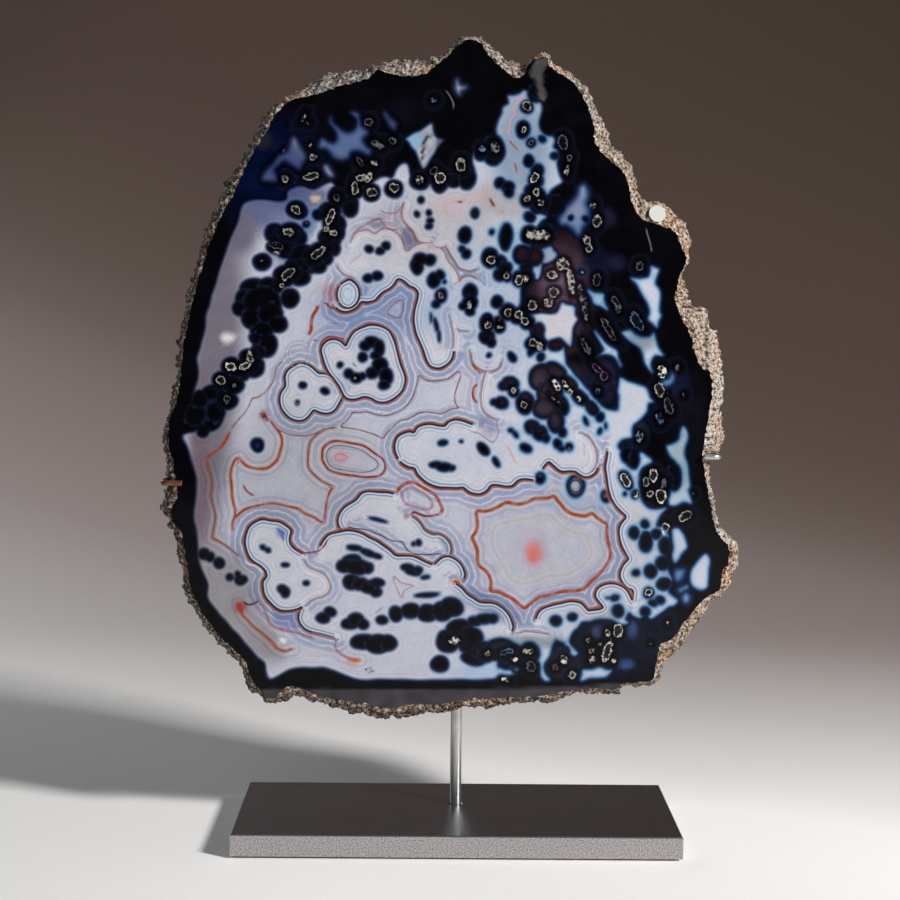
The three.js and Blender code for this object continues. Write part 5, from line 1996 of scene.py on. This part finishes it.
def felt_finish():
    """Black felt."""
    made = Finish("felt", **{"Roughness": 0.95, "Sheen Weight": 0.2})
    fibres = made.noise(2400, 3, 0.7)
    made.set("Base Color", made.mix_pair(fibres, FELT_PAIR))
    made.bump(fibres, distance=0.0003)
    return made.material


def paper_finish():
    """Blank matt paper."""
    made = Finish("paper", **{"Roughness": 0.7, "Specular IOR Level": 0.3})
    fibres = made.noise(1800, 3, 0.6)
    made.set("Base Color", made.mix_pair(fibres, PAPER_PAIR))
    made.bump(fibres, distance=0.00004)
    return made.material


def show(name, mesh, node, slot, *finishes):
    """Puts a new piece in the place of a CAD node."""
    piece = bpy.data.objects.new(name, mesh)
    for finish in finishes:
        mesh.materials.append(finish)
    bpy.context.scene.collection.objects.link(piece)
    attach(piece, "root")
    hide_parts(node)
    return piece


def dress(node, finish):
    """Gives a CAD node that keeps its shape a better finish."""
    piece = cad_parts[node]
    piece.data.materials.clear()
    piece.data.materials.append(finish)


def build_stage():
    """The pale floor that sweeps up to the backdrop, with painted shade darker towards the back and the
    top.
    """
    profile = [(SWEEP_FRONT, 0.0), (BEND_START, 0.0)]
    for step in range(1, BEND_STEPS + 1):
        angle = step / BEND_STEPS * math.pi / 2
        rise = BEND_RADIUS * (1 - math.cos(angle))
        profile.append((BEND_START + BEND_RADIUS * math.sin(angle), rise))
    profile.append((BEND_START + BEND_RADIUS, SWEEP_TOP))
    points = [(x, y, z) for y, z in profile for x in (-SWEEP_HALF, SWEEP_HALF)]
    faces = [(2 * i, 2 * i + 1, 2 * i + 3, 2 * i + 2) for i in range(len(profile) - 1)]
    mesh = bpy.data.meshes.new("sweep")
    mesh.from_pydata(points, [], faces)
    for face in mesh.polygons:
        face.use_smooth = True
    mesh.materials.append(sweep_painted_shade_finish())
    sweep = bpy.data.objects.new("sweep", mesh)
    bpy.context.scene.collection.objects.link(sweep)


def sweep_painted_shade_finish():
    """Pale paper with painted shade: darker towards the back, the top and the right."""
    made = Finish("sweep_paper_painted_shade", **{"Roughness": 0.9, "Specular IOR Level": 0.1})
    x, y, z = made.split(made.place())
    # painted shade: the stage's colour darkens with a slanted distance to the back, the top and the right
    reach = made.calc("ADD", made.product(y, SHADE_BACK), made.product(z, SHADE_UP))
    slanted = made.calc("MULTIPLY_ADD", x, SHADE_RIGHT, reach)
    made.set("Base Color", made.ramp(slanted, SWEEP_PAINTED_SHADE_STOPS)[0])
    return made.material


def area_light(name, place, target, size, power, colour):
    """A soft lamp, aimed at a point."""
    data = bpy.data.lights.new(name, "AREA")
    data.shape = "RECTANGLE"
    data.size, data.size_y = size
    data.energy = power
    data.color = colour
    lamp = bpy.data.objects.new(name, data)
    aim = Vector(target) - Vector(place)
    turn = aim.to_track_quat("-Z", "Y").to_matrix().to_4x4()
    lamp.matrix_world = Matrix.Translation(Vector(place)) @ turn
    bpy.context.scene.collection.objects.link(lamp)


def build_lights():
    """A soft key from the right front, weak lights from the left, above and behind, and a dim room."""
    for name, values in LAMPS.items():
        area_light(name, *values)
    bpy.context.scene.view_settings.view_transform = "Standard"
    world = bpy.data.worlds.new("room")
    world.use_nodes = True
    background = world.node_tree.nodes["Background"]
    background.inputs[0].default_value = ROOM_COLOUR
    background.inputs[1].default_value = ROOM_STRENGTH
    bpy.context.scene.world = world


def build_all():
    """Every piece, the stage, the lights and the camera."""
    place_camera()
    build_stage()
    build_lights()
    steel = rod_finish()
    copper = copper_finish()
    show("agate_stone", build_stone(), "agate_slice", "agate", face_finish(), rind_painted_light_finish())
    show("post_rod", build_post(), "post", "rod_steel", steel)
    show("arm_left_rod", build_arm("arm_left_rod", LEFT_GRIP), "arm_left", "arm_copper", copper)
    show("arm_right_rod", build_arm("arm_right_rod", RIGHT_GRIP), "arm_right", "rod_steel", steel)
    dress("base_plate", plate_finish())
    dress("felt_pad", felt_finish())
    dress("paper_dot", paper_finish())


build_all()
